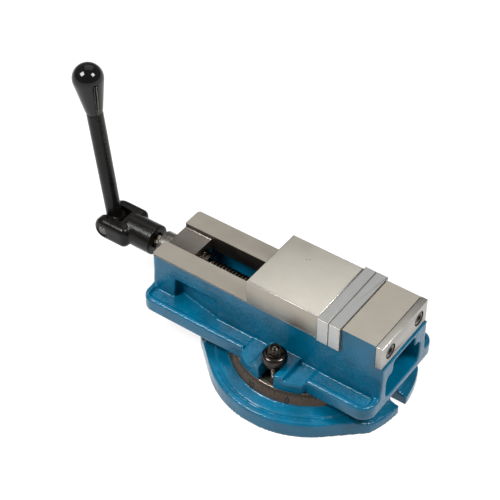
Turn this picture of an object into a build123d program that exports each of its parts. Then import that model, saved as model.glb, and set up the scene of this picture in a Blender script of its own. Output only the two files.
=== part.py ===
from build123d import *
import os
from math import cos, radians, sin, sqrt

# Precision milling vise on a graduated swivel base, with a folding crank handle.
# Millimetres. X runs along the bed towards the fixed jaw, Z is up, and the origin
# is on the swivel axis, on the underside of the base. The jaws are closed at rest.

os.makedirs("parts", exist_ok=True)

# ---- driving dimensions ------------------------------------------------------
JAW_WIDTH = 100.0
JAW_HEIGHT = 36.0
RUNNING_GAP = 0.05
SLIDE_GAP = 0.05

BASE_RADIUS = 127.0
BASE_RIM_Z = 22.0
LUG_REACH = 139.0
LUG_HALF_WIDTH = 57.0
LUG_TOP_Z = 13.0
LUG_SLOT_HALF = 8.0
LUG_SLOT_START = 108.0
DIAL_OUTER_RADIUS = 101.0
DIAL_OUTER_Z = 26.0
SEAT_RADIUS = 94.0
SEAT_Z = 41.0
STUD_CIRCLE = 75.5
STUD_RADIUS = 5.0
PIVOT_RADIUS = 20.0

BED_LEFT = -206.0
BED_RIGHT = 134.5
RAIL_Z = 110.0
SLOT_HALF = 20.3
LIP_UNDER_Z = 87.0
CAVITY_HALF = 38.0
CAVITY_NARROW_HALF = 34.0
CAVITY_WIDE_START = -102.0
CAVITY_FLOOR_Z = 51.0
FLANGE_HALF = 78.0
FLANGE_TOP_Z = 61.0
EAR_PAD_Z = 63.0
EAR_RADIUS = 95.0
BLOCK_RIGHT = -165.0
BLOCK_TOP_Z = 103.0

SCREW_Z = 78.0
THREAD_RADIUS = 11.0
JOURNAL_RADIUS = 10.0
DRIVE_FLATS = 19.0

MOVING_JAW_LEFT = -60.0
MOVING_JAW_RIGHT = 43.0
PLATE_THICKNESS = 16.0
PLATE_HALF_WIDTH = 53.8
CLOSED_GAP = 0.2
FIXED_JAW_RIGHT = 122.6
FIXED_JAW_TOP_Z = 144.0
REAR_PLATE_THICKNESS = 9.5
PLATE_SCREW_SPREAD = 32.0
PLATE_SCREW_Z = 128.0
PLATE_SCREW_RADIUS = 4.0
REAR_SCREW_Z = 127.0
REAR_SCREW_RADIUS = 5.0

HUB_RADIUS = 20.5
HUB_RIGHT = -237.0
PIN_X = -307.0
PIN_RADIUS = 7.0
ARM_LEAN = 7.0
ARM_RADIUS = 10.8
GRIP_START = 170.0
BALL_RADIUS = 20.0
BALL_DISTANCE = 220.0

# ---- values worked out from them -----------------------------------------------
BED_HALF = JAW_WIDTH / 2
PLATE_JOINT_X = MOVING_JAW_RIGHT + PLATE_THICKNESS
FIXED_FACE_X = PLATE_JOINT_X + CLOSED_GAP + PLATE_THICKNESS
BED_LENGTH = BED_RIGHT - BED_LEFT
BODY_UNDER_Z = SEAT_Z + RUNNING_GAP
REAR_FACE_X = FIXED_JAW_RIGHT + REAR_PLATE_THICKNESS
PLATE_SCREW_PLACES = ((-PLATE_SCREW_SPREAD, PLATE_SCREW_Z), (PLATE_SCREW_SPREAD, PLATE_SCREW_Z))
REAR_SCREW_PLACES = ((-PLATE_SCREW_SPREAD, REAR_SCREW_Z), (PLATE_SCREW_SPREAD, REAR_SCREW_Z))
SIDES = (("near", -1), ("far", 1))


def save(part, label):
    """Label one finished piece and write it as its own STEP file."""
    part.label = label
    export_step(part, f"parts/{label}.step")


# ---- swivel base -----------------------------------------------------------------
# Round casting with a slotted clamping lug at each end, a bevelled dial and a flat
# seat for the vise, and a circular T-slot under the seat.
THROAT_HALF = 6.0
TEE_HALF = 13.5
TEE_FLOOR_Z = 13.0
TEE_ROOF_Z = 24.0
BOLT_ENTRY_RADIUS = 17.5
PIVOT_BORE_START_Z = 6.0
RIM_BAND_RADIUS = 119.0
GROOVE_DEPTH = 1.5
SHOULDER_RADIUS = 116.0
SHOULDER_Z = 24.5
RIM_FILLET = 3.0
LUG_SLOPE_START = 112.0
LUG_SLOPE_LENGTH = 22.0
LUG_TANGENT_X = 84.6
LUG_TANGENT_Y = 94.7
LUG_CORNER_X = sqrt(LUG_REACH**2 - LUG_HALF_WIDTH**2)
KEYWAY_X = 82.0
KEYWAY_LENGTH = 46.0
KEYWAY_WIDTH = 14.0
KEYWAY_DEPTH = 4.0
with BuildPart() as swivel_base:
    with BuildSketch(Plane.XZ) as base_profile:
        with BuildLine():
            Polyline(
                (0, 0),
                (BASE_RADIUS, 0),
                (BASE_RADIUS - 0.5, BASE_RIM_Z),
                (RIM_BAND_RADIUS, BASE_RIM_Z + 0.5),
                (RIM_BAND_RADIUS - 1, BASE_RIM_Z - GROOVE_DEPTH),
                (SHOULDER_RADIUS + 1, BASE_RIM_Z - GROOVE_DEPTH),
                (SHOULDER_RADIUS, SHOULDER_Z),
                (DIAL_OUTER_RADIUS + 1.5, DIAL_OUTER_Z - 0.5),
                (DIAL_OUTER_RADIUS, DIAL_OUTER_Z),
                (SEAT_RADIUS, SEAT_Z),
                (0, SEAT_Z),
                (0, 0),
            )
        make_face()
        fillet(base_profile.vertices().group_by(Axis.X)[-2], RIM_FILLET)
    revolve(axis=Axis.Z)
    # The lugs: straight sides run tangent from the round base to a rounded end.
    with BuildPart(mode=Mode.PRIVATE) as lugs:
        for side in (-1, 1):
            with BuildSketch():
                with BuildLine():
                    Line((0, -LUG_TANGENT_Y), (side * LUG_TANGENT_X, -LUG_TANGENT_Y))
                    Line((side * LUG_TANGENT_X, -LUG_TANGENT_Y), (side * LUG_CORNER_X, -LUG_HALF_WIDTH))
                    ThreePointArc(
                        (side * LUG_CORNER_X, -LUG_HALF_WIDTH),
                        (side * LUG_REACH, 0),
                        (side * LUG_CORNER_X, LUG_HALF_WIDTH),
                    )
                    Line((side * LUG_CORNER_X, LUG_HALF_WIDTH), (side * LUG_TANGENT_X, LUG_TANGENT_Y))
                    Line((side * LUG_TANGENT_X, LUG_TANGENT_Y), (0, LUG_TANGENT_Y))
                    Line((0, LUG_TANGENT_Y), (0, -LUG_TANGENT_Y))
                make_face()
            extrude(amount=BASE_RIM_Z)
            # Each lug's top falls away towards its end.
            with BuildSketch(Plane.XZ):
                with BuildLine():
                    Polyline(
                        (side * LUG_SLOPE_START, BASE_RIM_Z + 1),
                        (side * LUG_SLOPE_START, BASE_RIM_Z - 1),
                        (side * (LUG_SLOPE_START + LUG_SLOPE_LENGTH), LUG_TOP_Z),
                        (side * (LUG_REACH + 5), LUG_TOP_Z),
                        (side * (LUG_REACH + 5), BASE_RIM_Z + 1),
                        (side * LUG_SLOPE_START, BASE_RIM_Z + 1),
                    )
                make_face()
            extrude(amount=BASE_RADIUS, both=True, mode=Mode.SUBTRACT)
    add(lugs.part)
    # Circular T-slot, with its throat open in the seat.
    with BuildSketch(Plane.XY.offset(TEE_FLOOR_Z)):
        Circle(STUD_CIRCLE + TEE_HALF)
        Circle(STUD_CIRCLE - TEE_HALF, mode=Mode.SUBTRACT)
    extrude(amount=TEE_ROOF_Z - TEE_FLOOR_Z, mode=Mode.SUBTRACT)
    with BuildSketch(Plane.XY.offset(TEE_ROOF_Z)):
        Circle(STUD_CIRCLE + THROAT_HALF)
        Circle(STUD_CIRCLE - THROAT_HALF, mode=Mode.SUBTRACT)
    extrude(amount=SEAT_Z - TEE_ROOF_Z, mode=Mode.SUBTRACT)
    # Two holes from below, where the T-bolts are dropped in.
    with BuildSketch(Plane.XY):
        with PolarLocations(STUD_CIRCLE, 2, start_angle=45):
            Circle(BOLT_ENTRY_RADIUS)
    extrude(amount=TEE_FLOOR_Z + 1, mode=Mode.SUBTRACT)
    # Blind bore for the centre pivot.
    with BuildSketch(Plane.XY.offset(PIVOT_BORE_START_Z)):
        Circle(PIVOT_RADIUS + RUNNING_GAP)
    extrude(amount=SEAT_Z - PIVOT_BORE_START_Z, mode=Mode.SUBTRACT)
    # Open clamping slots in the lugs, and keyways in line with them.
    for side in (-1, 1):
        with BuildSketch(Plane.XY):
            with Locations((side * (LUG_SLOT_START + LUG_REACH) / 2, 0)):
                Rectangle(LUG_REACH - LUG_SLOT_START + 8, 2 * LUG_SLOT_HALF)
            with Locations((side * LUG_SLOT_START, 0)):
                Circle(LUG_SLOT_HALF)
        extrude(amount=SEAT_Z, mode=Mode.SUBTRACT)
        with BuildSketch(Plane.XY):
            with Locations((side * KEYWAY_X, 0)):
                Rectangle(KEYWAY_LENGTH, KEYWAY_WIDTH)
        extrude(amount=KEYWAY_DEPTH, mode=Mode.SUBTRACT)
save(swivel_base.part, "swivel_base")

# ---- vise body -------------------------------------------------------------------
# One casting: foot flange, clamping ears, box bed with two rails, and the fixed jaw.
FLANGE_CORNER = 18.0
TROUGH_Y = 61.0
TROUGH_WIDTH = 21.0
TROUGH_DEPTH = 5.0
TROUGH_CORNER = 7.0
TROUGH_END_WALL = 7.0
VALLEY_HALF = 47.0
VALLEY_OVERLAP = 7.0
EAR_LEDGE_Z = 57.0
EAR_LEDGE_HALF = 46.0
EAR_PAD_HALF = 23.0
EAR_SLOT_HALF = 10.7
EAR_SLOT_END_Y = 64.5
FOOT_HALF = 52.0
FOOT_Z = 58.0
RAIL_SIDE_Z = 84.0
RAIL_BEVEL = 0.8
WINDOW_Z = 91.0
WINDOW_WIDTH = 50.0
WINDOW_HEIGHT = 26.0
WINDOW_CORNER = 6.0
CAVITY_CORNER = 8.0
CAVITY_MIDDLE_Z = (CAVITY_FLOOR_Z + LIP_UNDER_Z) / 2
CAVITY_HEIGHT = LIP_UNDER_Z - CAVITY_FLOOR_Z
RECESS_LEFT = -170.0
RECESS_RIGHT = -104.0
RECESS_TOP_Z = 85.0
RECESS_FLOOR_Z = FLANGE_TOP_Z - TROUGH_DEPTH
RECESS_DEEP_Y = 38.5
RECESS_SHALLOW_Y = 50.1
RECESS_OUTER_Y = 60.0
PIVOT_PRESS_TOP_Z = CAVITY_FLOOR_Z + 1
POCKET_RADIUS = 18.1
POCKET_DEPTH = 6.0
TAPPED_DEPTH = 20.0
with BuildPart() as vise_body:
    with BuildSketch(Plane.XY.offset(BODY_UNDER_Z)):
        with Locations(((BED_RIGHT + BED_LEFT) / 2, 0)):
            RectangleRounded(BED_LENGTH, 2 * FLANGE_HALF, FLANGE_CORNER)
    extrude(amount=FLANGE_TOP_Z - BODY_UNDER_Z)
    fillet(vise_body.edges().group_by(Axis.Z)[-1], RIM_FILLET)
    # A shallow trough behind the raised rim, in four lengths.
    for start, end in (
        (BED_LEFT + TROUGH_END_WALL, -VALLEY_HALF + VALLEY_OVERLAP),
        (VALLEY_HALF - VALLEY_OVERLAP, BED_RIGHT - TROUGH_END_WALL),
    ):
        for side in (-1, 1):
            with BuildSketch(Plane.XY.offset(FLANGE_TOP_Z)):
                with Locations(((start + end) / 2, side * TROUGH_Y)):
                    RectangleRounded(end - start, TROUGH_WIDTH, TROUGH_CORNER)
            extrude(amount=-TROUGH_DEPTH, mode=Mode.SUBTRACT, taper=20)
    # The rim breaks off at the ears, where the troughs run out over the ledges.
    with BuildSketch(Plane.XY.offset(EAR_LEDGE_Z)):
        Rectangle(2 * VALLEY_HALF, 2 * FLANGE_HALF + 2)
    extrude(amount=FLANGE_TOP_Z - EAR_LEDGE_Z + 1, mode=Mode.SUBTRACT)
    # The ears: a round plate concentric with the swivel, and a pad beside each slot.
    for half_length, top in ((EAR_LEDGE_HALF, EAR_LEDGE_Z), (EAR_PAD_HALF, EAR_PAD_Z)):
        with BuildSketch(Plane.XY.offset(BODY_UNDER_Z)):
            Circle(EAR_RADIUS)
            Rectangle(2 * half_length, 2 * EAR_RADIUS, mode=Mode.INTERSECT)
        extrude(amount=top - BODY_UNDER_Z)
    # The bed, a little wider at its foot, with small bevels along the rails.
    with BuildSketch(Plane.YZ.offset(BED_LEFT)):
        with BuildLine():
            Polyline(
                (-FOOT_HALF, BODY_UNDER_Z),
                (-FOOT_HALF, FOOT_Z),
                (-BED_HALF, RAIL_SIDE_Z),
                (-BED_HALF, RAIL_Z - RAIL_BEVEL),
                (-BED_HALF + RAIL_BEVEL, RAIL_Z),
                (BED_HALF - RAIL_BEVEL, RAIL_Z),
                (BED_HALF, RAIL_Z - RAIL_BEVEL),
                (BED_HALF, RAIL_SIDE_Z),
                (FOOT_HALF, FOOT_Z),
                (FOOT_HALF, BODY_UNDER_Z),
                (-FOOT_HALF, BODY_UNDER_Z),
            )
        make_face()
    extrude(amount=BED_LENGTH)
    # The fixed jaw, and the step in the bed's end that carries the rear plate.
    with BuildSketch(Plane.XY.offset(RAIL_Z - 1)):
        with Locations(((FIXED_FACE_X + FIXED_JAW_RIGHT) / 2, 0)):
            Rectangle(FIXED_JAW_RIGHT - FIXED_FACE_X, JAW_WIDTH)
    extrude(amount=FIXED_JAW_TOP_Z - RAIL_Z + 1)
    with BuildSketch(Plane.XY.offset(RAIL_Z - 1)):
        with Locations(((FIXED_JAW_RIGHT + BED_RIGHT) / 2 + 1, 0)):
            Rectangle(BED_RIGHT - FIXED_JAW_RIGHT + 2, JAW_WIDTH + 2)
    extrude(amount=2, mode=Mode.SUBTRACT)
    # The slot between the rails, from the front block to the fixed jaw.
    with BuildSketch(Plane.XY.offset(LIP_UNDER_Z - 1)):
        with Locations(((BLOCK_RIGHT + PLATE_JOINT_X) / 2, 0)):
            Rectangle(PLATE_JOINT_X - BLOCK_RIGHT, 2 * SLOT_HALF)
    extrude(amount=RAIL_Z - LIP_UNDER_Z + 2, mode=Mode.SUBTRACT)
    # The cavity under the rails, wider beyond the side recesses and open at the fixed jaw's end,
    # with a taller window there.
    for start, middle_z, width, height, corner in (
        (BLOCK_RIGHT, CAVITY_MIDDLE_Z, 2 * CAVITY_NARROW_HALF, CAVITY_HEIGHT, CAVITY_CORNER),
        (CAVITY_WIDE_START, CAVITY_MIDDLE_Z, 2 * CAVITY_HALF, CAVITY_HEIGHT, CAVITY_CORNER),
        (PLATE_JOINT_X - 1, WINDOW_Z, WINDOW_WIDTH, WINDOW_HEIGHT, WINDOW_CORNER),
    ):
        with BuildSketch(Plane.YZ.offset(start)):
            with Locations((0, middle_z)):
                RectangleRounded(width, height, corner)
        extrude(amount=BED_LENGTH, mode=Mode.SUBTRACT)
    # The front block's top is lower than the rails.
    with BuildSketch(Plane.XY.offset(BLOCK_TOP_Z)):
        with Locations(((BED_LEFT + BLOCK_RIGHT) / 2, 0)):
            Rectangle(BLOCK_RIGHT - BED_LEFT + 2, 2 * SLOT_HALF)
    extrude(amount=RAIL_Z - BLOCK_TOP_Z + 1, mode=Mode.SUBTRACT)
    # Screw bore, and the pocket for the thrust bearing.
    for radius, depth in (
        (JOURNAL_RADIUS + RUNNING_GAP, BLOCK_RIGHT - BED_LEFT + 1),
        (POCKET_RADIUS, POCKET_DEPTH),
    ):
        with BuildSketch(Plane.YZ.offset(BLOCK_RIGHT)):
            with Locations((0, SCREW_Z)):
                Circle(radius)
        extrude(amount=-depth, mode=Mode.SUBTRACT)
    # A recess in each side wall, under the rail. It is deep at the left and runs out to the right.
    for side in (-1, 1):
        with BuildSketch(Plane.XY.offset(RECESS_FLOOR_Z)):
            with BuildLine():
                Polyline(
                    (RECESS_LEFT, side * RECESS_OUTER_Y),
                    (RECESS_LEFT, side * RECESS_DEEP_Y),
                    (RECESS_RIGHT, side * RECESS_SHALLOW_Y),
                    (RECESS_RIGHT, side * RECESS_OUTER_Y),
                    (RECESS_LEFT, side * RECESS_OUTER_Y),
                )
            make_face()
        extrude(amount=RECESS_TOP_Z - RECESS_FLOOR_Z, mode=Mode.SUBTRACT)
    # Slots in the ears for the clamping bolts.
    for side in (-1, 1):
        with BuildSketch(Plane.XY.offset(SEAT_Z - 1)):
            with Locations((0, side * (EAR_SLOT_END_Y + EAR_SLOT_HALF + 20))):
                Rectangle(2 * EAR_SLOT_HALF, 40)
            with Locations((0, side * (EAR_SLOT_END_Y + EAR_SLOT_HALF))):
                Circle(EAR_SLOT_HALF)
        extrude(amount=EAR_PAD_Z - SEAT_Z + 2, mode=Mode.SUBTRACT)
    # Press hole for the centre pivot.
    with BuildSketch(Plane.XY.offset(SEAT_Z - 1)):
        Circle(PIVOT_RADIUS)
    extrude(amount=PIVOT_PRESS_TOP_Z - SEAT_Z + 1, mode=Mode.SUBTRACT)
    # Threaded holes for the jaw plate's and the rear plate's screws.
    for face_x, places, radius, direction in (
        (FIXED_FACE_X, PLATE_SCREW_PLACES, PLATE_SCREW_RADIUS, 1),
        (FIXED_JAW_RIGHT, REAR_SCREW_PLACES, REAR_SCREW_RADIUS, -1),
    ):
        with BuildSketch(Plane.YZ.offset(face_x)):
            with Locations(*places):
                Circle(radius)
        extrude(amount=direction * TAPPED_DEPTH, mode=Mode.SUBTRACT)
save(vise_body.part, "vise_body")

# ---- centre pivot ------------------------------------------------------------------
# Turned steel plug, pressed into the body's floor and turning in the base's bore.
PIVOT_END_Z = 8.0
with BuildPart() as centre_pivot:
    with BuildSketch(Plane.XY.offset(PIVOT_END_Z)):
        Circle(PIVOT_RADIUS)
    extrude(amount=CAVITY_FLOOR_Z - PIVOT_END_Z)
    chamfer(centre_pivot.edges().group_by(Axis.Z)[0], 1.5)
save(centre_pivot.part, "centre_pivot")

# ---- clamping T-bolts, their washers and their flange nuts -----------------------------
# The square heads slide in the base's T-slot. The nuts press on the ears through thick washers.
BOLT_HEAD_Z = TEE_FLOOR_Z + 1.8
BOLT_HEAD_SIDE = 24.0
BOLT_HEAD_HEIGHT = 9.0
BOLT_TOP_Z = 90.5
WASHER_TOP_Z = 69.3
CLAMP_WASHER_RADIUS = 13.2
NUT_SEAT_Z = WASHER_TOP_Z + 0.02
NUT_FLANGE_RADIUS = 15.85
NUT_FLANGE_TOP_Z = 75.0
NUT_DOME_RADIUS = 11.7
NUT_DOME_TOP_Z = 79.8
NUT_FLATS = 16.0
NUT_TOP_Z = 88.0
for name, side in SIDES:
    with BuildPart() as clamp_bolt:
        with BuildSketch(Plane.XY.offset(BOLT_HEAD_Z)):
            with Locations((0, side * STUD_CIRCLE)):
                Rectangle(BOLT_HEAD_SIDE, BOLT_HEAD_SIDE)
        extrude(amount=BOLT_HEAD_HEIGHT)
        with BuildSketch(Plane.XY.offset(BOLT_HEAD_Z)):
            with Locations((0, side * STUD_CIRCLE)):
                Circle(STUD_RADIUS)
        extrude(amount=BOLT_TOP_Z - BOLT_HEAD_Z)
        chamfer(clamp_bolt.edges().group_by(Axis.Z)[-1], 1.2)
    save(clamp_bolt.part, f"clamp_bolt_{name}")

    with BuildPart() as clamp_washer:
        with BuildSketch(Plane.XY.offset(EAR_PAD_Z)):
            with Locations((0, side * STUD_CIRCLE)):
                Circle(CLAMP_WASHER_RADIUS)
                Circle(STUD_RADIUS + 0.3, mode=Mode.SUBTRACT)
        extrude(amount=WASHER_TOP_Z - EAR_PAD_Z)
    save(clamp_washer.part, f"clamp_washer_{name}")

    with BuildPart() as clamp_nut:
        with BuildSketch(Plane.XZ):
            with BuildLine():
                Polyline(
                    (0, NUT_SEAT_Z),
                    (NUT_FLANGE_RADIUS, NUT_SEAT_Z),
                    (NUT_FLANGE_RADIUS, NUT_FLANGE_TOP_Z),
                    (NUT_DOME_RADIUS, NUT_DOME_TOP_Z),
                    (0, NUT_DOME_TOP_Z),
                    (0, NUT_SEAT_Z),
                )
            make_face()
        revolve(axis=Axis.Z)
        with BuildSketch(Plane.XY.offset(NUT_SEAT_Z)):
            RegularPolygon(NUT_FLATS / 2, 6, major_radius=False)
        extrude(amount=NUT_TOP_Z - NUT_SEAT_Z)
        with BuildSketch(Plane.XY.offset(EAR_PAD_Z)):
            Circle(STUD_RADIUS + RUNNING_GAP)
        extrude(amount=NUT_TOP_Z - EAR_PAD_Z + 1, mode=Mode.SUBTRACT)
    save(clamp_nut.part.moved(Location((0, side * STUD_CIRCLE, 0))), f"clamp_nut_{name}")

# ---- moving jaw ------------------------------------------------------------------------
# Ground block that slides on the rails, with a tongue in the slot and a pocket
# for the nut's angled neck. The neck pulls down on the jaw through a half ball.
NECK_HALF = 13.0
NECK_LEFT = -40.0
NECK_TOP_Z = 130.0
NECK_ROOT_Z = LIP_UNDER_Z - 0.4
NECK_GAP = 0.6
LEAN_START_X = 8.0
LEAN_START_Z = 104.0
LEAN_RUN = 20.0
OFFSET_SHARE = sqrt(2) - 1
BALL_SEAT_X = 18.0
BALL_SEAT_Z = 114.0
LOCK_BALL_RADIUS = 10.0
TONGUE_UNDER_Z = 100.0
TONGUE_RIGHT = 39.0
TONGUE_LEFT = -44.0
TONGUE_GAP = 0.1
LOCK_SCREW_Z = 120.0
LOCK_SCREW_RADIUS = 4.0


def neck_outline(grow):
    """Side view of the nut's neck, with its front face leaning 45 degrees over the half ball."""
    lean_z = LEAN_START_Z - grow * OFFSET_SHARE
    right = LEAN_START_X + LEAN_RUN + grow
    return (
        (NECK_LEFT - grow, NECK_ROOT_Z),
        (LEAN_START_X + grow, NECK_ROOT_Z),
        (LEAN_START_X + grow, lean_z),
        (right, lean_z + LEAN_RUN),
        (right, NECK_TOP_Z + grow),
        (NECK_LEFT - grow, NECK_TOP_Z + grow),
        (NECK_LEFT - grow, NECK_ROOT_Z),
    )


with BuildPart() as moving_jaw:
    with BuildSketch(Plane.XY.offset(RAIL_Z + SLIDE_GAP)):
        with Locations(((MOVING_JAW_LEFT + MOVING_JAW_RIGHT) / 2, 0)):
            Rectangle(MOVING_JAW_RIGHT - MOVING_JAW_LEFT, JAW_WIDTH)
    extrude(amount=JAW_HEIGHT - SLIDE_GAP)
    chamfer(moving_jaw.edges().group_by(Axis.Z)[-1], 1.0)
    with BuildSketch(Plane.XY.offset(TONGUE_UNDER_Z)):
        with Locations(((TONGUE_LEFT + TONGUE_RIGHT) / 2, 0)):
            Rectangle(TONGUE_RIGHT - TONGUE_LEFT, 2 * (SLOT_HALF - TONGUE_GAP))
    extrude(amount=RAIL_Z - TONGUE_UNDER_Z + 2)
    with BuildSketch(Plane.XZ.offset(-NECK_HALF - NECK_GAP)):
        with BuildLine():
            Polyline(*neck_outline(NECK_GAP))
        make_face()
    extrude(amount=2 * (NECK_HALF + NECK_GAP), mode=Mode.SUBTRACT)
    with Locations((BALL_SEAT_X, 0, BALL_SEAT_Z)):
        Sphere(LOCK_BALL_RADIUS + 0.1, mode=Mode.SUBTRACT)
    with BuildSketch(Plane.YZ.offset(MOVING_JAW_LEFT)):
        with Locations((0, LOCK_SCREW_Z)):
            Circle(LOCK_SCREW_RADIUS)
    extrude(amount=NECK_LEFT - MOVING_JAW_LEFT, mode=Mode.SUBTRACT)
    with BuildSketch(Plane.YZ.offset(MOVING_JAW_RIGHT)):
        with Locations(*PLATE_SCREW_PLACES):
            Circle(PLATE_SCREW_RADIUS)
    extrude(amount=-TAPPED_DEPTH, mode=Mode.SUBTRACT)
save(moving_jaw.part, "moving_jaw")

# ---- jaw lock screw, in the moving jaw's back wall ---------------------------------------
with BuildPart() as jaw_lock_screw:
    with BuildSketch(Plane.YZ.offset(MOVING_JAW_LEFT + 1)):
        with Locations((0, LOCK_SCREW_Z)):
            Circle(LOCK_SCREW_RADIUS)
    extrude(amount=NECK_LEFT - MOVING_JAW_LEFT - 1.2)
    with BuildSketch(Plane.YZ.offset(MOVING_JAW_LEFT + 1)):
        with Locations((0, LOCK_SCREW_Z)):
            RegularPolygon(2, 6, major_radius=False)
    extrude(amount=5, mode=Mode.SUBTRACT)
save(jaw_lock_screw.part, "jaw_lock_screw")

# ---- angled jaw nut -----------------------------------------------------------------------
# Wide foot under the rails, which keeps the jaw down, and the angled neck above it.
NUT_FOOT_LEFT = -44.0
NUT_FOOT_LENGTH = 56.0
NUT_FOOT_WIDTH = 64.0
NUT_FOOT_UNDER_Z = 59.0
THREAD_GAP = 0.06
with BuildPart() as jaw_nut:
    with BuildSketch(Plane.YZ.offset(NUT_FOOT_LEFT)):
        with Locations((0, (NUT_FOOT_UNDER_Z + NECK_ROOT_Z) / 2)):
            RectangleRounded(NUT_FOOT_WIDTH, NECK_ROOT_Z - NUT_FOOT_UNDER_Z, 5)
    extrude(amount=NUT_FOOT_LENGTH)
    with BuildSketch(Plane.XZ.offset(-NECK_HALF)):
        with BuildLine():
            Polyline(*neck_outline(0))
        make_face()
    extrude(amount=2 * NECK_HALF)
    with BuildSketch(Plane.YZ.offset(NUT_FOOT_LEFT - 1)):
        with Locations((0, SCREW_Z)):
            Circle(THREAD_RADIUS + THREAD_GAP)
    extrude(amount=NUT_FOOT_LENGTH + 20, mode=Mode.SUBTRACT)
save(jaw_nut.part, "jaw_nut")

# ---- half-ball lock segment ------------------------------------------------------------------
with BuildPart() as lock_segment:
    with Locations((BALL_SEAT_X, 0, BALL_SEAT_Z)):
        Sphere(LOCK_BALL_RADIUS)
    split(bisect_by=Plane((BALL_SEAT_X, 0, BALL_SEAT_Z), z_dir=(1, 0, -1)), keep=Keep.TOP)
save(lock_segment.part, "lock_segment")


# ---- jaw plates -------------------------------------------------------------------------------
def jaw_plate(start_x, mouth_x, into):
    """A ground plate with two counterbored holes. Its bores open at mouth_x and run along into."""
    with BuildPart() as plate:
        with BuildSketch(Plane.XY.offset(RAIL_Z + 2 * SLIDE_GAP)):
            with Locations((start_x + PLATE_THICKNESS / 2, 0)):
                Rectangle(PLATE_THICKNESS, 2 * PLATE_HALF_WIDTH)
        extrude(amount=JAW_HEIGHT - 2 * SLIDE_GAP)
        fillet(plate.edges().filter_by(Axis.Z), 1.5)
        chamfer(plate.edges().group_by(Axis.Z)[-1], 0.6)
        for radius, depth in ((PLATE_SCREW_RADIUS + 3.2, 9), (PLATE_SCREW_RADIUS + 0.2, PLATE_THICKNESS)):
            with BuildSketch(Plane.YZ.offset(mouth_x)):
                with Locations(*PLATE_SCREW_PLACES):
                    Circle(radius)
            extrude(amount=into * depth, mode=Mode.SUBTRACT)
    return plate.part


def cap_screw_pair(plane, head_radius, head_height, shank_radius, shank_length, key_flats):
    """Two socket cap screws side by side. Their heads' tops lie on the plane, which faces outwards."""
    with BuildPart() as pair:
        for radius, start, length in (
            (head_radius, 0, head_height),
            (shank_radius, head_height, shank_length),
        ):
            with BuildSketch(plane.offset(-start)):
                with Locations((-PLATE_SCREW_SPREAD, 0), (PLATE_SCREW_SPREAD, 0)):
                    Circle(radius)
            extrude(amount=-length)
        chamfer(pair.edges().group_by(Axis(plane.origin, plane.z_dir))[-1], 0.6)
        with BuildSketch(plane):
            with Locations((-PLATE_SCREW_SPREAD, 0), (PLATE_SCREW_SPREAD, 0)):
                RegularPolygon(key_flats / 2, 6, major_radius=False)
        extrude(amount=-head_height * 0.6, mode=Mode.SUBTRACT)
    return pair.part


save(jaw_plate(MOVING_JAW_RIGHT, PLATE_JOINT_X, -1), "moving_jaw_plate")
save(jaw_plate(PLATE_JOINT_X + CLOSED_GAP, PLATE_JOINT_X + CLOSED_GAP, 1), "fixed_jaw_plate")

moving_mouth = Plane((PLATE_JOINT_X - 1, 0, PLATE_SCREW_Z), x_dir=(0, 1, 0), z_dir=(1, 0, 0))
save(cap_screw_pair(moving_mouth, 6.5, 8, PLATE_SCREW_RADIUS, 22, 6), "moving_plate_screws")
fixed_mouth = Plane((PLATE_JOINT_X + CLOSED_GAP + 1, 0, PLATE_SCREW_Z), x_dir=(0, 1, 0), z_dir=(-1, 0, 0))
save(cap_screw_pair(fixed_mouth, 6.5, 8, PLATE_SCREW_RADIUS, 22, 6), "fixed_plate_screws")

# ---- rear plate, on the outer face of the fixed jaw, with its two screws ------------------------
with BuildPart() as rear_jaw_plate:
    with BuildSketch(Plane.XY.offset(RAIL_Z)):
        with Locations(((FIXED_JAW_RIGHT + REAR_FACE_X) / 2, 0)):
            Rectangle(REAR_PLATE_THICKNESS, JAW_WIDTH + 1.2)
    extrude(amount=FIXED_JAW_TOP_Z - RAIL_Z)
    chamfer(rear_jaw_plate.edges().group_by(Axis.X)[-1], 0.8)
    for radius, depth in ((10.0, 6.5), (REAR_SCREW_RADIUS + 0.3, REAR_PLATE_THICKNESS)):
        with BuildSketch(Plane.YZ.offset(REAR_FACE_X)):
            with Locations(*REAR_SCREW_PLACES):
                Circle(radius)
        extrude(amount=-depth, mode=Mode.SUBTRACT)
save(rear_jaw_plate.part, "rear_jaw_plate")
rear_mouth = Plane((REAR_FACE_X - 0.5, 0, REAR_SCREW_Z), x_dir=(0, 1, 0), z_dir=(1, 0, 0))
save(cap_screw_pair(rear_mouth, 8.5, 6, REAR_SCREW_RADIUS, 18, 8), "rear_plate_screws")

# ---- lead screw --------------------------------------------------------------------------------
# Left-hand screw. Its shoulder bears on the thrust bearing inside the front block.
JOURNAL_END = -226.5
DRIVE_END = -262.0
SHOULDER_LEFT = BLOCK_RIGHT + 6
SHOULDER_LENGTH = 6.0
THREAD_RIGHT = 36.0
with BuildPart() as lead_screw:
    for start, end, radius in (
        (JOURNAL_END, SHOULDER_LEFT, JOURNAL_RADIUS),
        (SHOULDER_LEFT, SHOULDER_LEFT + SHOULDER_LENGTH, 16.0),
        (SHOULDER_LEFT + SHOULDER_LENGTH, THREAD_RIGHT, THREAD_RADIUS),
    ):
        with BuildSketch(Plane.YZ.offset(start)):
            with Locations((0, SCREW_Z)):
                Circle(radius)
        extrude(amount=end - start)
    chamfer(lead_screw.edges().group_by(Axis.X)[-1], 1.5)
    with BuildSketch(Plane.YZ.offset(DRIVE_END)):
        with Locations((0, SCREW_Z)):
            RegularPolygon(DRIVE_FLATS / 2, 6, major_radius=False)
    extrude(amount=JOURNAL_END - DRIVE_END)
save(lead_screw.part, "lead_screw")

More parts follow.
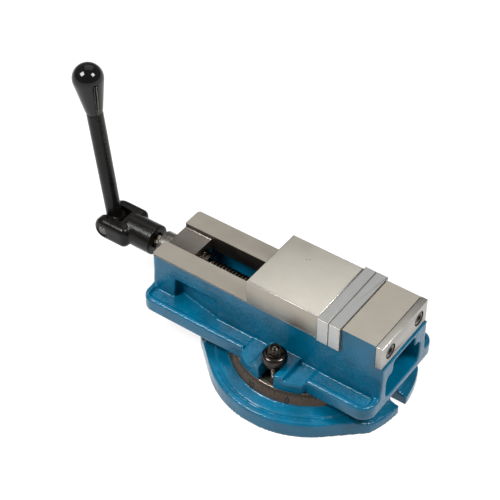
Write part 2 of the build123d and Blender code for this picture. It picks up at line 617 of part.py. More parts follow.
# ---- thrust bearing: two washers, a cage and its balls -------------------------------------------
BEARING_BALL_RADIUS = 2.9
BALL_CIRCLE = 14.2
BALL_COUNT = 10
WASHER_RADIUS = 17.9
WASHER_THICKNESS = 3.0
CAGE_HALF = 1.1
for name, start, bore in (
    ("thrust_washer_front", BLOCK_RIGHT - POCKET_DEPTH, JOURNAL_RADIUS + 0.4),
    ("thrust_washer_rear", BLOCK_RIGHT + WASHER_THICKNESS, JOURNAL_RADIUS),
):
    with BuildPart() as washer:
        with BuildSketch(Plane.YZ.offset(start)):
            with Locations((0, SCREW_Z)):
                Circle(WASHER_RADIUS)
                Circle(bore, mode=Mode.SUBTRACT)
        extrude(amount=WASHER_THICKNESS)
    save(washer.part, name)
bearing_plane = Plane((BLOCK_RIGHT, 0, SCREW_Z), x_dir=(0, 1, 0), z_dir=(1, 0, 0))
with BuildPart() as thrust_balls:
    with Locations(bearing_plane):
        with PolarLocations(BALL_CIRCLE, BALL_COUNT):
            Sphere(BEARING_BALL_RADIUS)
save(thrust_balls.part, "thrust_balls")
with BuildPart() as thrust_cage:
    with BuildSketch(bearing_plane.offset(-CAGE_HALF)):
        Circle(WASHER_RADIUS - 0.3)
        Circle(JOURNAL_RADIUS + 0.8, mode=Mode.SUBTRACT)
        with PolarLocations(BALL_CIRCLE, BALL_COUNT):
            Circle(BEARING_BALL_RADIUS + 0.1, mode=Mode.SUBTRACT)
    extrude(amount=2 * CAGE_HALF)
save(thrust_cage.part, "thrust_cage")

# ---- retaining collar on the screw's shank, with its set screw -------------------------------------
COLLAR_RADIUS = 18.5
COLLAR_LENGTH = 20.0
SET_SCREW_RADIUS = 3.0
SET_SCREW_LENGTH = 7.0
COLLAR_MID_X = JOURNAL_END + COLLAR_LENGTH / 2
with BuildPart() as spindle_collar:
    with BuildSketch(Plane.YZ.offset(JOURNAL_END)):
        with Locations((0, SCREW_Z)):
            Circle(COLLAR_RADIUS)
            Circle(JOURNAL_RADIUS, mode=Mode.SUBTRACT)
    extrude(amount=COLLAR_LENGTH)
    chamfer(spindle_collar.edges().group_by(Axis.X)[0].sort_by(SortBy.RADIUS)[-1], 1.2)
    with BuildSketch(Plane.XZ.offset(JOURNAL_RADIUS - 1)):
        with Locations((COLLAR_MID_X, SCREW_Z)):
            Circle(SET_SCREW_RADIUS)
    extrude(amount=COLLAR_RADIUS - JOURNAL_RADIUS + 2, mode=Mode.SUBTRACT)
save(spindle_collar.part, "spindle_collar")
with BuildPart() as collar_set_screw:
    with BuildSketch(Plane.XZ.offset(JOURNAL_RADIUS + 0.1)):
        with Locations((COLLAR_MID_X, SCREW_Z)):
            Circle(SET_SCREW_RADIUS)
    extrude(amount=SET_SCREW_LENGTH)
    with BuildSketch(Plane.XZ.offset(JOURNAL_RADIUS + 0.1 + SET_SCREW_LENGTH)):
        with Locations((COLLAR_MID_X, SCREW_Z)):
            RegularPolygon(SET_SCREW_RADIUS / 2, 6, major_radius=False)
    extrude(amount=-SET_SCREW_LENGTH / 2, mode=Mode.SUBTRACT)
save(collar_set_screw.part, "collar_set_screw")

# ---- handle hub ------------------------------------------------------------------------------------
# Forged socket that slips over the screw's hexagon, with a fork for the folding arm.
FORK_RIGHT = -269.0
FORK_HALF_WIDTH = 28.0
FORK_HALF_HEIGHT = 16.0
FORK_SLOT_HALF = 12.0
FORK_SLOT_RIGHT = -287.0
FORK_ROUNDING = 9.0
SOCKET_DEPTH = 29.0
SOCKET_PLAY = 0.15
PIN_HEAD_RADIUS = 8.7
PIN_HEAD_DEPTH = 2.0
with BuildPart() as handle_hub:
    with BuildSketch(Plane.XZ.offset(-FORK_HALF_WIDTH)):
        with BuildLine():
            Line((FORK_RIGHT, SCREW_Z - FORK_HALF_HEIGHT), (PIN_X, SCREW_Z - FORK_HALF_HEIGHT))
            ThreePointArc(
                (PIN_X, SCREW_Z - FORK_HALF_HEIGHT),
                (PIN_X - FORK_HALF_HEIGHT, SCREW_Z),
                (PIN_X, SCREW_Z + FORK_HALF_HEIGHT),
            )
            Line((PIN_X, SCREW_Z + FORK_HALF_HEIGHT), (FORK_RIGHT, SCREW_Z + FORK_HALF_HEIGHT))
            Line((FORK_RIGHT, SCREW_Z + FORK_HALF_HEIGHT), (FORK_RIGHT, SCREW_Z - FORK_HALF_HEIGHT))
        make_face()
    extrude(amount=2 * FORK_HALF_WIDTH)
    fillet(handle_hub.edges(), FORK_ROUNDING)
    with BuildSketch(Plane.YZ.offset(HUB_RIGHT)):
        with Locations((0, SCREW_Z)):
            Circle(HUB_RADIUS)
    extrude(amount=FORK_RIGHT - 10 - HUB_RIGHT)
    with BuildSketch(Plane.XY):
        with Locations((FORK_SLOT_RIGHT - 20, 0)):
            Rectangle(40, 2 * FORK_SLOT_HALF)
    extrude(amount=2 * SCREW_Z, mode=Mode.SUBTRACT)
    with BuildSketch(Plane.YZ.offset(HUB_RIGHT)):
        with Locations((0, SCREW_Z)):
            RegularPolygon(DRIVE_FLATS / 2 + SOCKET_PLAY, 6, major_radius=False)
    extrude(amount=-SOCKET_DEPTH, mode=Mode.SUBTRACT)
    chamfer(handle_hub.edges().group_by(Axis.X)[-1].sort_by(SortBy.LENGTH)[-1], 1.0)
    with BuildSketch(Plane.XZ.offset(-FORK_HALF_WIDTH)):
        with Locations((PIN_X, SCREW_Z)):
            Circle(PIN_RADIUS)
    extrude(amount=2 * FORK_HALF_WIDTH, mode=Mode.SUBTRACT)
    for side in (-1, 1):
        with BuildSketch(Plane.XZ.offset(-side * FORK_HALF_WIDTH)):
            with Locations((PIN_X, SCREW_Z)):
                Circle(PIN_HEAD_RADIUS + 0.3)
        extrude(amount=side * PIN_HEAD_DEPTH, mode=Mode.SUBTRACT)
save(handle_hub.part, "handle_hub")

# ---- folding pin, headed over at both ends ----------------------------------------------------------
PIN_HALF = FORK_HALF_WIDTH - PIN_HEAD_DEPTH
with BuildPart() as handle_pin:
    with BuildSketch(Plane.XZ.offset(-PIN_HALF)):
        with Locations((PIN_X, SCREW_Z)):
            Circle(PIN_RADIUS)
    extrude(amount=2 * PIN_HALF)
    for side in (-1, 1):
        with BuildSketch(Plane.XZ.offset(-side * PIN_HALF)):
            with Locations((PIN_X, SCREW_Z)):
                Circle(PIN_HEAD_RADIUS)
        extrude(amount=-side * (PIN_HEAD_DEPTH - 0.2))
save(handle_pin.part, "handle_pin")

# ---- folding arm ------------------------------------------------------------------------------------
# Round bar with a flat eye on the pin, and a threaded stud at its end for the grip.
EYE_RADIUS = 13.0
EYE_HALF = 11.0
STUD_END = 205.0
GRIP_STUD_RADIUS = 5.0
tilt = radians(ARM_LEAN)
arm_plane = Plane((PIN_X, 0, SCREW_Z), x_dir=(cos(tilt), 0, sin(tilt)), z_dir=(0, -1, 0))
with BuildPart() as handle_arm:
    with BuildSketch(arm_plane):
        with BuildLine():
            Polyline(
                (0, -4),
                (ARM_RADIUS - 0.6, -4),
                (ARM_RADIUS, GRIP_START),
                (GRIP_STUD_RADIUS, GRIP_START),
                (GRIP_STUD_RADIUS, STUD_END),
                (0, STUD_END),
                (0, -4),
            )
        make_face()
    revolve(axis=Axis(arm_plane.origin, arm_plane.y_dir))
    with BuildSketch(arm_plane):
        Circle(EYE_RADIUS)
    extrude(amount=EYE_HALF, both=True)
    with BuildSketch(arm_plane):
        Circle(PIN_RADIUS + RUNNING_GAP)
    extrude(amount=EYE_HALF + 5, both=True, mode=Mode.SUBTRACT)
save(handle_arm.part, "handle_arm")

# ---- ball grip, moulded on a cone that runs tangent into the ball --------------------------------------
NECK_JOIN_ANGLE = 10.8
join = radians(NECK_JOIN_ANGLE)
neck_join = (BALL_RADIUS * cos(join), BALL_DISTANCE - BALL_RADIUS * sin(join))
with BuildPart() as handle_grip:
    with BuildSketch(arm_plane):
        with BuildLine():
            Line((0, GRIP_START), (ARM_RADIUS, GRIP_START))
            Line((ARM_RADIUS, GRIP_START), neck_join)
            CenterArc((0, BALL_DISTANCE), BALL_RADIUS, -NECK_JOIN_ANGLE, 90 + NECK_JOIN_ANGLE)
            Line((0, BALL_DISTANCE + BALL_RADIUS), (0, GRIP_START))
        make_face()
    revolve(axis=Axis(arm_plane.origin, arm_plane.y_dir))
    with BuildSketch(arm_plane):
        with Locations((GRIP_STUD_RADIUS / 2, (GRIP_START + STUD_END) / 2)):
            Rectangle(GRIP_STUD_RADIUS, STUD_END - GRIP_START)
    revolve(axis=Axis(arm_plane.origin, arm_plane.y_dir), mode=Mode.SUBTRACT)
save(handle_grip.part, "handle_grip")
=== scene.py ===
from math import atan2, cos, degrees, pi, radians, sin, tau

import bmesh
import bpy
import numpy as np
from mathutils import Matrix, Vector, noise


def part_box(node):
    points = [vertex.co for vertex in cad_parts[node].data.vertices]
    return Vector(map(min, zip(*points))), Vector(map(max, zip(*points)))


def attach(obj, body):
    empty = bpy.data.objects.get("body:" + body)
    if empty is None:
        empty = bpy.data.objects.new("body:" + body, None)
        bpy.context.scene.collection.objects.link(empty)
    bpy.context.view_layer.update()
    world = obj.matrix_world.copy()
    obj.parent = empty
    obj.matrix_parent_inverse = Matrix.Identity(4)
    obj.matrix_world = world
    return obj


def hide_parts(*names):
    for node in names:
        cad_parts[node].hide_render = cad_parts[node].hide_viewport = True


# A milling vise on a graduated swivel base. The sections follow the order in which it is put
# together: base, dial, body, clamps, jaws, screw, handle. Sizes are in metres unless a name says mm.
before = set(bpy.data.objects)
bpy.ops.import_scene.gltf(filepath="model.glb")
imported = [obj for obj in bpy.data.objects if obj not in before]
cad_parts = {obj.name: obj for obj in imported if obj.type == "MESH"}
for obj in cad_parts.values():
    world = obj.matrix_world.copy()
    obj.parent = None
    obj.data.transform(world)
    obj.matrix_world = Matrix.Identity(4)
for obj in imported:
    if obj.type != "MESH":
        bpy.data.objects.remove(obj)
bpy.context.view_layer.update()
MM = 0.001

# ---- swivel base -------------------------------------------------------------------
# A round grey-iron casting, sand cast and painted with gloss enamel after its seat and
# T-slot were turned. Two slotted lugs take the bolts that hold it to the machine's table.
CAST_VOXEL = 1.0 * MM  # how far apart the points of a cast skin are
CAST_WAVE = 7 * MM  # the slow waves that rammed sand leaves
CAST_PIT = 2.8 * MM
CAST_ROUNDING = 0.6  # how far a point goes towards its neighbours in one round
ENAMEL_DEEP = "#013B4F"
ENAMEL_BRIGHT = "#016588"
ENAMEL_PATCH = 30 * MM  # as wide as a brush load of paint
CAST_GRAIN = 3.0 * MM  # moulding sand is about 0.3 mm, and is drawn coarser so that it shows
PAINT_SPECK = 0.9 * MM
NOISE_SPREAD = {"From Min": 0.3, "From Max": 0.7}  # where most of a noise pattern's values lie
OIL_CLOUD = 22 * MM
TOOL_MARK_LENGTH = 18 * MM
SHARP_ANGLE = radians(35)
SEAT_RADIUS = 94 * MM
SEAT_MARGIN = 0.6 * MM
SEAT_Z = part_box("swivel_base")[1].z


def linear(hex_colour):
    """An sRGB hex colour as the linear RGBA that a shader takes."""
    shares = [int(hex_colour[i : i + 2], 16) / 255 for i in (1, 3, 5)]
    return [s / 12.92 if s <= 0.04045 else ((s + 0.055) / 1.055) ** 2.4 for s in shares] + [1.0]


def add_node(tree, kind, settings=(), inputs=()):
    """Adds one shader node. An input given as a socket is linked, and any other is set."""
    node = tree.nodes.new("ShaderNode" + kind)
    for key, value in dict(settings).items():
        setattr(node, key, value)
    for key, value in dict(inputs).items():
        if isinstance(value, bpy.types.NodeSocket):
            tree.links.new(value, node.inputs[key])
        else:
            node.inputs[key].default_value = value
    return node


def new_material(name, **sockets):
    """A material with its even values set on the shader's own sockets. Returns it, its tree and
    its shader."""
    material = bpy.data.materials.new(name)
    material.use_nodes = True
    shader = material.node_tree.nodes["Principled BSDF"]
    for key, value in sockets.items():
        shader.inputs[key.replace("_", " ")].default_value = value
    return material, material.node_tree, shader


def gloss_enamel(name, deep, bright):
    """Brushed gloss enamel over sand-cast iron: its blue drifts between a deep and a bright tone in patches,
    and the grain of the sand shows through as a soft orange peel that breaks up the highlights. Enamel's
    index is near 1.5, and is set lower so that the glow of a lit table doesn't grey it."""
    material, tree, shader = new_material(name, IOR=1.38)
    place = add_node(tree, "TexCoord").outputs["Object"]
    patch = add_node(tree, "TexNoise", inputs={"Vector": place, "Scale": 1 / ENAMEL_PATCH, "Detail": 4})
    tint = add_node(
        tree, "Mix", {"data_type": "RGBA"}, {0: patch.outputs[0], 6: linear(deep), 7: linear(bright)}
    )
    tree.links.new(tint.outputs[2], shader.inputs["Base Color"])
    dull = add_node(
        tree, "MapRange", inputs={**NOISE_SPREAD, "Value": patch.outputs[0], "To Min": 0.06, "To Max": 0.14}
    )
    tree.links.new(dull.outputs[0], shader.inputs["Roughness"])
    grain = add_node(tree, "TexNoise", inputs={"Vector": place, "Scale": 1 / CAST_GRAIN, "Detail": 3})
    speck = add_node(tree, "TexNoise", inputs={"Vector": place, "Scale": 1 / PAINT_SPECK, "Detail": 2})
    grain_depth = {"Strength": 0.9, "Distance": 0.6 * MM}
    speck_depth = {"Strength": 0.4, "Distance": 0.1 * MM}
    coarse = add_node(tree, "Bump", inputs={"Height": grain.outputs[0], **grain_depth})
    fine = add_node(
        tree, "Bump", inputs={"Height": speck.outputs[0], "Normal": coarse.outputs[0], **speck_depth}
    )
    tree.links.new(fine.outputs[0], shader.inputs["Normal"])
    return material


def machined_metal(name, light, dark, roughness, along, line_mm=0.7, depth_mm=0.02):
    """Bare metal as the cutter or wheel left it: fine parallel lines along one axis, each with
    its own brightness, over a faint cloud of oil. Lines are really about 0.1 mm apart, and are
    drawn coarser here so that they show. To the eye it is a soft sheen with a direction to it."""
    material, tree, shader = new_material(name, Metallic=1.0)
    place = add_node(tree, "TexCoord").outputs["Object"]
    squeeze = [1 / (line_mm * MM)] * 3
    squeeze["XYZ".index(along)] = 1 / TOOL_MARK_LENGTH
    lines_at = add_node(tree, "Mapping", inputs={"Vector": place, "Scale": squeeze})
    lines = add_node(tree, "TexNoise", inputs={"Vector": lines_at.outputs[0], "Scale": 1.0, "Detail": 3})
    cloud = add_node(tree, "TexNoise", inputs={"Vector": place, "Scale": 1 / OIL_CLOUD, "Detail": 3})
    both = add_node(
        tree, "Mix", {"data_type": "FLOAT"}, {0: 0.35, 2: lines.outputs[0], 3: cloud.outputs[0]}
    )
    share = add_node(tree, "MapRange", inputs={**NOISE_SPREAD, "Value": both.outputs[0]})
    tint = add_node(
        tree, "Mix", {"data_type": "RGBA"}, {0: share.outputs[0], 6: linear(dark), 7: linear(light)}
    )
    tree.links.new(tint.outputs[2], shader.inputs["Base Color"])
    rough_range = {"To Min": roughness - 0.06, "To Max": roughness + 0.06}
    rough = add_node(tree, "MapRange", inputs={**NOISE_SPREAD, **rough_range, "Value": both.outputs[0]})
    tree.links.new(rough.outputs[0], shader.inputs["Roughness"])
    line_depth = {"Strength": 0.3, "Distance": depth_mm * MM}
    bump = add_node(tree, "Bump", inputs={"Height": lines.outputs[0], **line_depth})
    tree.links.new(bump.outputs[0], shader.inputs["Normal"])
    return material


def show(name, mesh, body, slot, *materials):
    """Puts a finished mesh in the scene as a piece that rides on a body."""
    piece = bpy.data.objects.new(name, mesh)
    bpy.context.scene.collection.objects.link(piece)
    for material in materials:
        mesh.materials.append(material)
    mesh.shade_smooth()
    mesh.set_sharp_from_angle(angle=SHARP_ANGLE)
    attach(piece, body)
    return piece


def applied(mesh, kind, **settings):
    """The mesh that a modifier makes of another mesh."""
    holder = bpy.data.objects.new("holder", mesh)
    bpy.context.scene.collection.objects.link(holder)
    modifier = holder.modifiers.new("step", kind)
    for key, value in settings.items():
        setattr(modifier, key, value)
    shaped = bpy.data.meshes.new_from_object(holder.evaluated_get(bpy.context.evaluated_depsgraph_get()))
    bpy.data.objects.remove(holder)
    return shaped


def points_of(mesh):
    """A mesh's points as an array, one row each."""
    points = np.zeros(3 * len(mesh.vertices))
    mesh.vertices.foreach_get("co", points)
    return points.reshape(-1, 3)


def cast_skin(node, machined, rounds, wave, shape=None, voxel=CAST_VOXEL, keep_share=0.3):
    """The skin of a casting: the CAD shape in an even mesh whose edges are rounded off over some
    rounds of smoothing, with the slow waves of a sand mould. Points that machined() picks stay crisp."""
    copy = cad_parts[node].data.copy()
    copy.materials.clear()
    mesh = applied(copy, "REMESH", mode="VOXEL", voxel_size=voxel)
    points = points_of(mesh)
    if shape is not None:
        points = shape(points)
    free = ~machined(points)
    ends = np.zeros(2 * len(mesh.edges), int)
    mesh.edges.foreach_get("vertices", ends)
    first, second = ends.reshape(-1, 2).T
    neighbours = np.bincount(np.concatenate((first, second)), minlength=len(points))
    for _ in range(rounds):
        total = np.stack(
            [
                np.bincount(first, points[second, axis], len(points))
                + np.bincount(second, points[first, axis], len(points))
                for axis in range(3)
            ],
            axis=1,
        )
        points[free] += CAST_ROUNDING * (total / neighbours[:, None] - points)[free]
    mesh.vertices.foreach_set("co", points.ravel())
    normals = np.zeros(3 * len(points))
    mesh.vertices.foreach_get("normal", normals)
    fade = free.astype(float)
    for _ in range(6):
        total = np.bincount(first, fade[second], len(points)) + np.bincount(second, fade[first], len(points))
        fade = np.minimum(fade, total / neighbours)
    waves = [noise.noise(Vector(p) / CAST_WAVE) + 0.6 * noise.noise(Vector(p) / CAST_PIT) for p in points]
    swell = wave * fade * waves
    points += normals.reshape(-1, 3) * swell[:, None]
    mesh.vertices.foreach_set("co", points.ravel())
    mesh.update()
    return applied(mesh, "DECIMATE", ratio=keep_share)


def faces_of(mesh):
    """Each face's centre and normal, one row each."""
    centres = np.zeros(3 * len(mesh.polygons))
    normals = np.zeros(3 * len(mesh.polygons))
    mesh.polygons.foreach_get("center", centres)
    mesh.polygons.foreach_get("normal", normals)
    return centres.reshape(-1, 3), normals.reshape(-1, 3)


def share_out(mesh, zones):
    """Gives each face the material of its zone's number."""
    mesh.polygons.foreach_set("material_index", np.asarray(zones).astype(int))


def is_turned(points):
    """The base's turned surfaces: the seat, the T-slot and the underside."""
    radius = np.hypot(points[:, 0], points[:, 1])
    return (radius < SEAT_RADIUS + 1 * MM) | (points[:, 2] < SEAT_MARGIN)


# The blue is deep and glossy on the castings' sides. Turned iron is a dull warm grey.
enamel = gloss_enamel("gloss_enamel_on_cast_iron", ENAMEL_DEEP, ENAMEL_BRIGHT)
turned_iron = machined_metal("turned_grey_iron", "#8C857B", "#5E564D", 0.42, "X")
base_mesh = cast_skin("swivel_base", is_turned, rounds=7, wave=0.12 * MM)
base_skin = show("base_casting", base_mesh, "base", "blue_enamel_casting", enamel, turned_iron)
centres, _ = faces_of(base_mesh)
share_out(base_mesh, is_turned(centres))
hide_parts("swivel_base")

# ---- dial --------------------------------------------------------------------------
# The bevel round the seat is turned bare and engraved: a line at each degree, longer at each
# fifth and tenth, and a number at every thirty degrees. The cuts hold dark ink and old oil.
DIAL_OUTER = Vector((101 * MM, 26 * MM))
DIAL_INNER = Vector((SEAT_RADIUS, SEAT_Z))
DIAL_SKIN = 0.15 * MM  # how far the bright bevel stands off the casting
DIAL_ZERO = -71.5
MARK_LIFT = 0.06 * MM
TICK_WIDTH = 0.8 * MM  # really 0.3 mm, and drawn wider so that it shows
TICK_TOP = 0.5 * MM
NUMBER_HEIGHT = 11 * MM
NUMBER_STEP = 30
dial_slope = (DIAL_OUTER - DIAL_INNER).normalized()
dial_out = Vector((-dial_slope.y, dial_slope.x))


def on_dial(angle, distance, lift=0.0):
    """A point on the bevel: an angle in degrees from +X, and a distance down from its upper edge."""
    flat = DIAL_INNER + dial_slope * distance + dial_out * (DIAL_SKIN + lift)
    turn = radians(angle)
    return Vector((flat.x * cos(turn), flat.x * sin(turn), flat.y))


def turned(levels, segments=96, flats_turn=0.0):
    """A mesh turned about +Z from (height, radius) levels. A third number is a hexagon's width
    across its flats, which then cuts the round radius down to the hexagon."""
    points, faces = [], []
    for height, radius, *flats in levels:
        for i in range(segments):
            angle = tau * i / segments
            reach = radius
            if flats:
                off_flat = (angle - flats_turn + pi / 6) % (pi / 3) - pi / 6
                reach = min(radius, flats[0] / 2 / cos(off_flat))
            points.append((reach * cos(angle), reach * sin(angle), height))
    for row in range(len(levels) - 1):
        for i in range(segments):
            j = (i + 1) % segments
            low, high = row * segments, (row + 1) * segments
            faces.append((low + i, low + j, high + j, high + i))
    faces.append(tuple(reversed(range(segments))))
    faces.append(tuple(range((len(levels) - 1) * segments, len(levels) * segments)))
    mesh = bpy.data.meshes.new("turned")
    mesh.from_pydata(points, [], faces)
    return mesh


def joined(name, *meshes):
    """One mesh from several, each left where it is."""
    work = bmesh.new()
    for mesh in meshes:
        work.from_mesh(mesh)
    whole = bpy.data.meshes.new(name)
    work.to_mesh(whole)
    work.free()
    return whole


dial_length = (DIAL_OUTER - DIAL_INNER).length
bevel_stops = (dial_length - 0.8 * MM, dial_length * 0.66, dial_length * 0.33, 0.7 * MM)
bevel_points = [DIAL_INNER + dial_slope * stop + dial_out * DIAL_SKIN for stop in bevel_stops]
ring_levels = [
    (DIAL_OUTER.y - 1.5 * MM, DIAL_OUTER.x - 1.2 * MM),
    (DIAL_OUTER.y - 0.5 * MM, DIAL_OUTER.x + 0.1 * MM),
    *[(point.y, point.x) for point in bevel_points],
    (SEAT_Z - 0.05 * MM, SEAT_RADIUS - 0.4 * MM),
    (SEAT_Z - 1.5 * MM, SEAT_RADIUS - 0.6 * MM),
]
ring_mesh = turned(ring_levels, segments=360)
# The bevel is brown-grey from old oil, and its two edges are painted a little brighter as a highlight.
dial_metal = machined_metal("turned_dial_bevel", "#6B6057", "#4C433B", 0.42, "Z", line_mm=0.8)
dial_edge_highlight = machined_metal("dial_edge_painted_highlight", "#7E756B", "#61584F", 0.4, "Z")
dial = show("dial_bevel", ring_mesh, "base", "blue_enamel_casting", dial_metal, dial_edge_highlight)
centres, _ = faces_of(ring_mesh)
# The faces along the bevel's upper and lower edges take the lighter metal: a painted highlight.
at_edge = (centres[:, 2] < DIAL_OUTER.y + 0.1 * MM) | (centres[:, 2] > SEAT_Z - 0.6 * MM)
share_out(ring_mesh, at_edge)

marks = bmesh.new()
half_turn = degrees(TICK_WIDTH / 2 / DIAL_INNER.x)
for degree in range(360):
    length = 7.5 * MM if degree % 10 == 0 else 6.0 * MM if degree % 5 == 0 else 4.2 * MM
    angle = DIAL_ZERO + degree
    corners = [
        on_dial(angle + side * half_turn, along, MARK_LIFT)
        for side, along in ((-1, TICK_TOP), (-1, length), (1, length), (1, TICK_TOP))
    ]
    marks.faces.new([marks.verts.new(p) for p in corners])
marks_mesh = bpy.data.meshes.new("ticks")
marks.to_mesh(marks_mesh)
marks.free()
numbers = []
for turn in range(0, 360, NUMBER_STEP):
    quarter = turn % 180
    writing = bpy.data.curves.new("number", "FONT")
    writing.body = str(min(quarter, 180 - quarter))
    writing.size = NUMBER_HEIGHT
    writing.align_x = "CENTER"
    writing.offset = 0.3 * MM
    writing.extrude = 0.02 * MM
    angle = DIAL_ZERO + turn
    foot = on_dial(angle, dial_length - 1.2 * MM, MARK_LIFT)
    uphill = (on_dial(angle, 0) - on_dial(angle, dial_length)).normalized()
    across = Vector((-sin(radians(angle)), cos(radians(angle)), 0))
    stand = Matrix((across, uphill, across.cross(uphill))).transposed().to_4x4()
    stand.translation = foot
    holder = bpy.data.objects.new("number", writing)
    bpy.context.scene.collection.objects.link(holder)
    number = bpy.data.meshes.new_from_object(holder.evaluated_get(bpy.context.evaluated_depsgraph_get()))
    number.transform(stand)
    numbers.append(number)
    bpy.data.objects.remove(holder)
# Dried ink and oil in the cuts: flat and nearly black. The same near-black also stands as painted shade in
# the jaw's punch marks.
ink_and_dent_shade, ink_tree, ink_shader = new_material("ink_in_engraving_and_painted_dent_shade", Roughness=0.7)
ink_cloud = add_node(ink_tree, "TexNoise", inputs={"Scale": 1 / (3 * MM), "Detail": 2})
ink_tint = add_node(
    ink_tree,
    "Mix",
    {"data_type": "RGBA"},
    {0: ink_cloud.outputs[0], 6: linear("#050403"), 7: linear("#15110E")},
)
ink_tree.links.new(ink_tint.outputs[2], ink_shader.inputs["Base Color"])
show("dial_marks", joined("dial_marks", marks_mesh, *numbers), "base", "black_oxide_steel", ink_and_dent_shade)

# ---- vise body ---------------------------------------------------------------------
# One iron casting with its foot flange, ears, box bed and fixed jaw. It is enamelled like the
# base. The rails, the slot, the front block and the jaw's top are ground bare afterwards.
body_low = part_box("vise_body")[0]
RAIL_Z = 110 * MM
BED_HALF = 50 * MM
BED_CORNER = 6 * MM
BED_STRAIGHT_Z = 84 * MM  # below this the bed's sides lean out to its foot
BED_LEAN_HEIGHT = 26 * MM
BED_LEAN = 2 * MM
FLANGE_SIDE_Z = 60 * MM
SLOT_HALF = 20.3 * MM
BLOCK_RIGHT = -165 * MM
BLOCK_TOP_Z = 103 * MM
BLOCK_BORE = 18.6 * MM
SCREW_HEIGHT = 78 * MM
LIP_UNDER_Z = 87 * MM
LIP_MIDDLE_Z = 83 * MM
CAVITY_HALF = 39 * MM
FIXED_FACE_X = 75.2 * MM
BODY_WAVE = 0.15 * MM


def round_bed_corners(points):
    """Rounds the bed's two upright corners at the handle's end, above the foot flange."""
    x, y, z = points.T
    widening = np.clip((BED_STRAIGHT_Z - z) / BED_LEAN_HEIGHT, 0, 1) * BED_LEAN
    centre_x = body_low.x + BED_CORNER
    centre_y = BED_HALF + widening - BED_CORNER
    away_x, away_y = x - centre_x, np.abs(y) - centre_y
    reach = np.hypot(away_x, away_y)
    outside = (z > FLANGE_SIDE_Z) & (away_x < 0) & (away_y > 0) & (reach > BED_CORNER)
    pull = np.where(outside, BED_CORNER / np.maximum(reach, 1e-9), 1.0)
    rounded = np.stack((centre_x + away_x * pull, np.sign(y) * (centre_y + away_y * pull), z), axis=1)
    return np.where(outside[:, None], rounded, points)


def is_ground(points):
    """The body's machined surfaces: everything at rail height and above, the slot and its block."""
    x, y, z = points.T
    in_slot = (np.abs(y) < SLOT_HALF + 0.5 * MM) & (z > LIP_UNDER_Z - 0.5 * MM) & (x < FIXED_FACE_X)
    near_axis = (np.abs(y) < BLOCK_BORE) & (np.abs(z - SCREW_HEIGHT) < BLOCK_BORE)
    block_bore = near_axis & (x < BLOCK_RIGHT - 1 * MM)
    return (z > RAIL_Z - 3 * MM) | in_slot | block_bore | (z < SEAT_Z + SEAT_MARGIN)


def stays_crisp(points):
    """The machined surfaces, and the milled undersides of the rails that the jaw nut slides under."""
    x, y, z = points.T
    beside_nut = (np.abs(y) < CAVITY_HALF) & (np.abs(z - LIP_MIDDLE_Z) < 4.6 * MM)
    return is_ground(points) | (beside_nut & (x > BLOCK_RIGHT) & (x < FIXED_FACE_X))


# Ground rails are pale and even. Milled iron in the slot is dark with oil, and the block's top lies between.
# The dark slot iron also paints a thin line of shade on the rails' outer bevels.
ground_iron = machined_metal("surface_ground_iron", "#BDB6AA", "#B0A99D", 0.4, "X", line_mm=0.5)
slot_iron_and_bevel_shade = machined_metal("milled_iron_in_slot_and_painted_bevel_shade", "#6E6862", "#4E4843", 0.45, "Y", line_mm=0.9)
block_iron = machined_metal("milled_block_top", "#857F78", "#736D66", 0.42, "Y", line_mm=0.6)
body_mesh = cast_skin("vise_body", stays_crisp, rounds=8, wave=BODY_WAVE, shape=round_bed_corners)
body_metals = (enamel, ground_iron, slot_iron_and_bevel_shade, block_iron)
body_skin = show("body_casting", body_mesh, "vise", "blue_enamel_casting", *body_metals)
centres, normals = faces_of(body_mesh)
face_x, face_y, face_z = centres.T
outer_side = (np.abs(face_y) > BED_HALF - 0.5 * MM) & (np.abs(normals[:, 1]) > 0.8)
outer_end = (face_x < body_low.x + 0.5 * MM) & (normals[:, 0] < -0.8)
bare_top = (face_z > RAIL_Z - 0.9 * MM) & ~outer_side & ~outer_end
in_slot = (np.abs(face_y) < SLOT_HALF + 0.3 * MM) & (face_z > LIP_UNDER_Z) & (face_x < FIXED_FACE_X)
block_top = in_slot & (face_z > BLOCK_TOP_Z - 0.5 * MM) & (normals[:, 2] > 0.7) & (face_x < BLOCK_RIGHT)
# The narrow bevel along each rail's outer edge takes the dark slot iron: a painted shade line.
bevel_height = np.abs(face_z - RAIL_Z + 0.45 * MM) < 0.6 * MM
bevel = (np.abs(face_y) > BED_HALF - 0.85 * MM) & bevel_height & (np.abs(normals[:, 1]) > 0.25)
slot_faces_and_shaded_bevel = bevel | (in_slot & ~bare_top) | (face_z < SEAT_Z + SEAT_MARGIN)
share_out(body_mesh, np.where(block_top, 3, np.where(slot_faces_and_shaded_bevel, 2, np.where(bare_top, 1, 0))))
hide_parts("vise_body")

# ---- centre pivot ------------------------------------------------------------------
# A turned and hardened steel plug that centres the body on its base. Only its end shows,
# from inside the bed.


def dress(node, *materials):
    """Gives a CAD node its materials."""
    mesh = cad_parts[node].data
    mesh.materials.clear()
    for material in materials:
        mesh.materials.append(material)


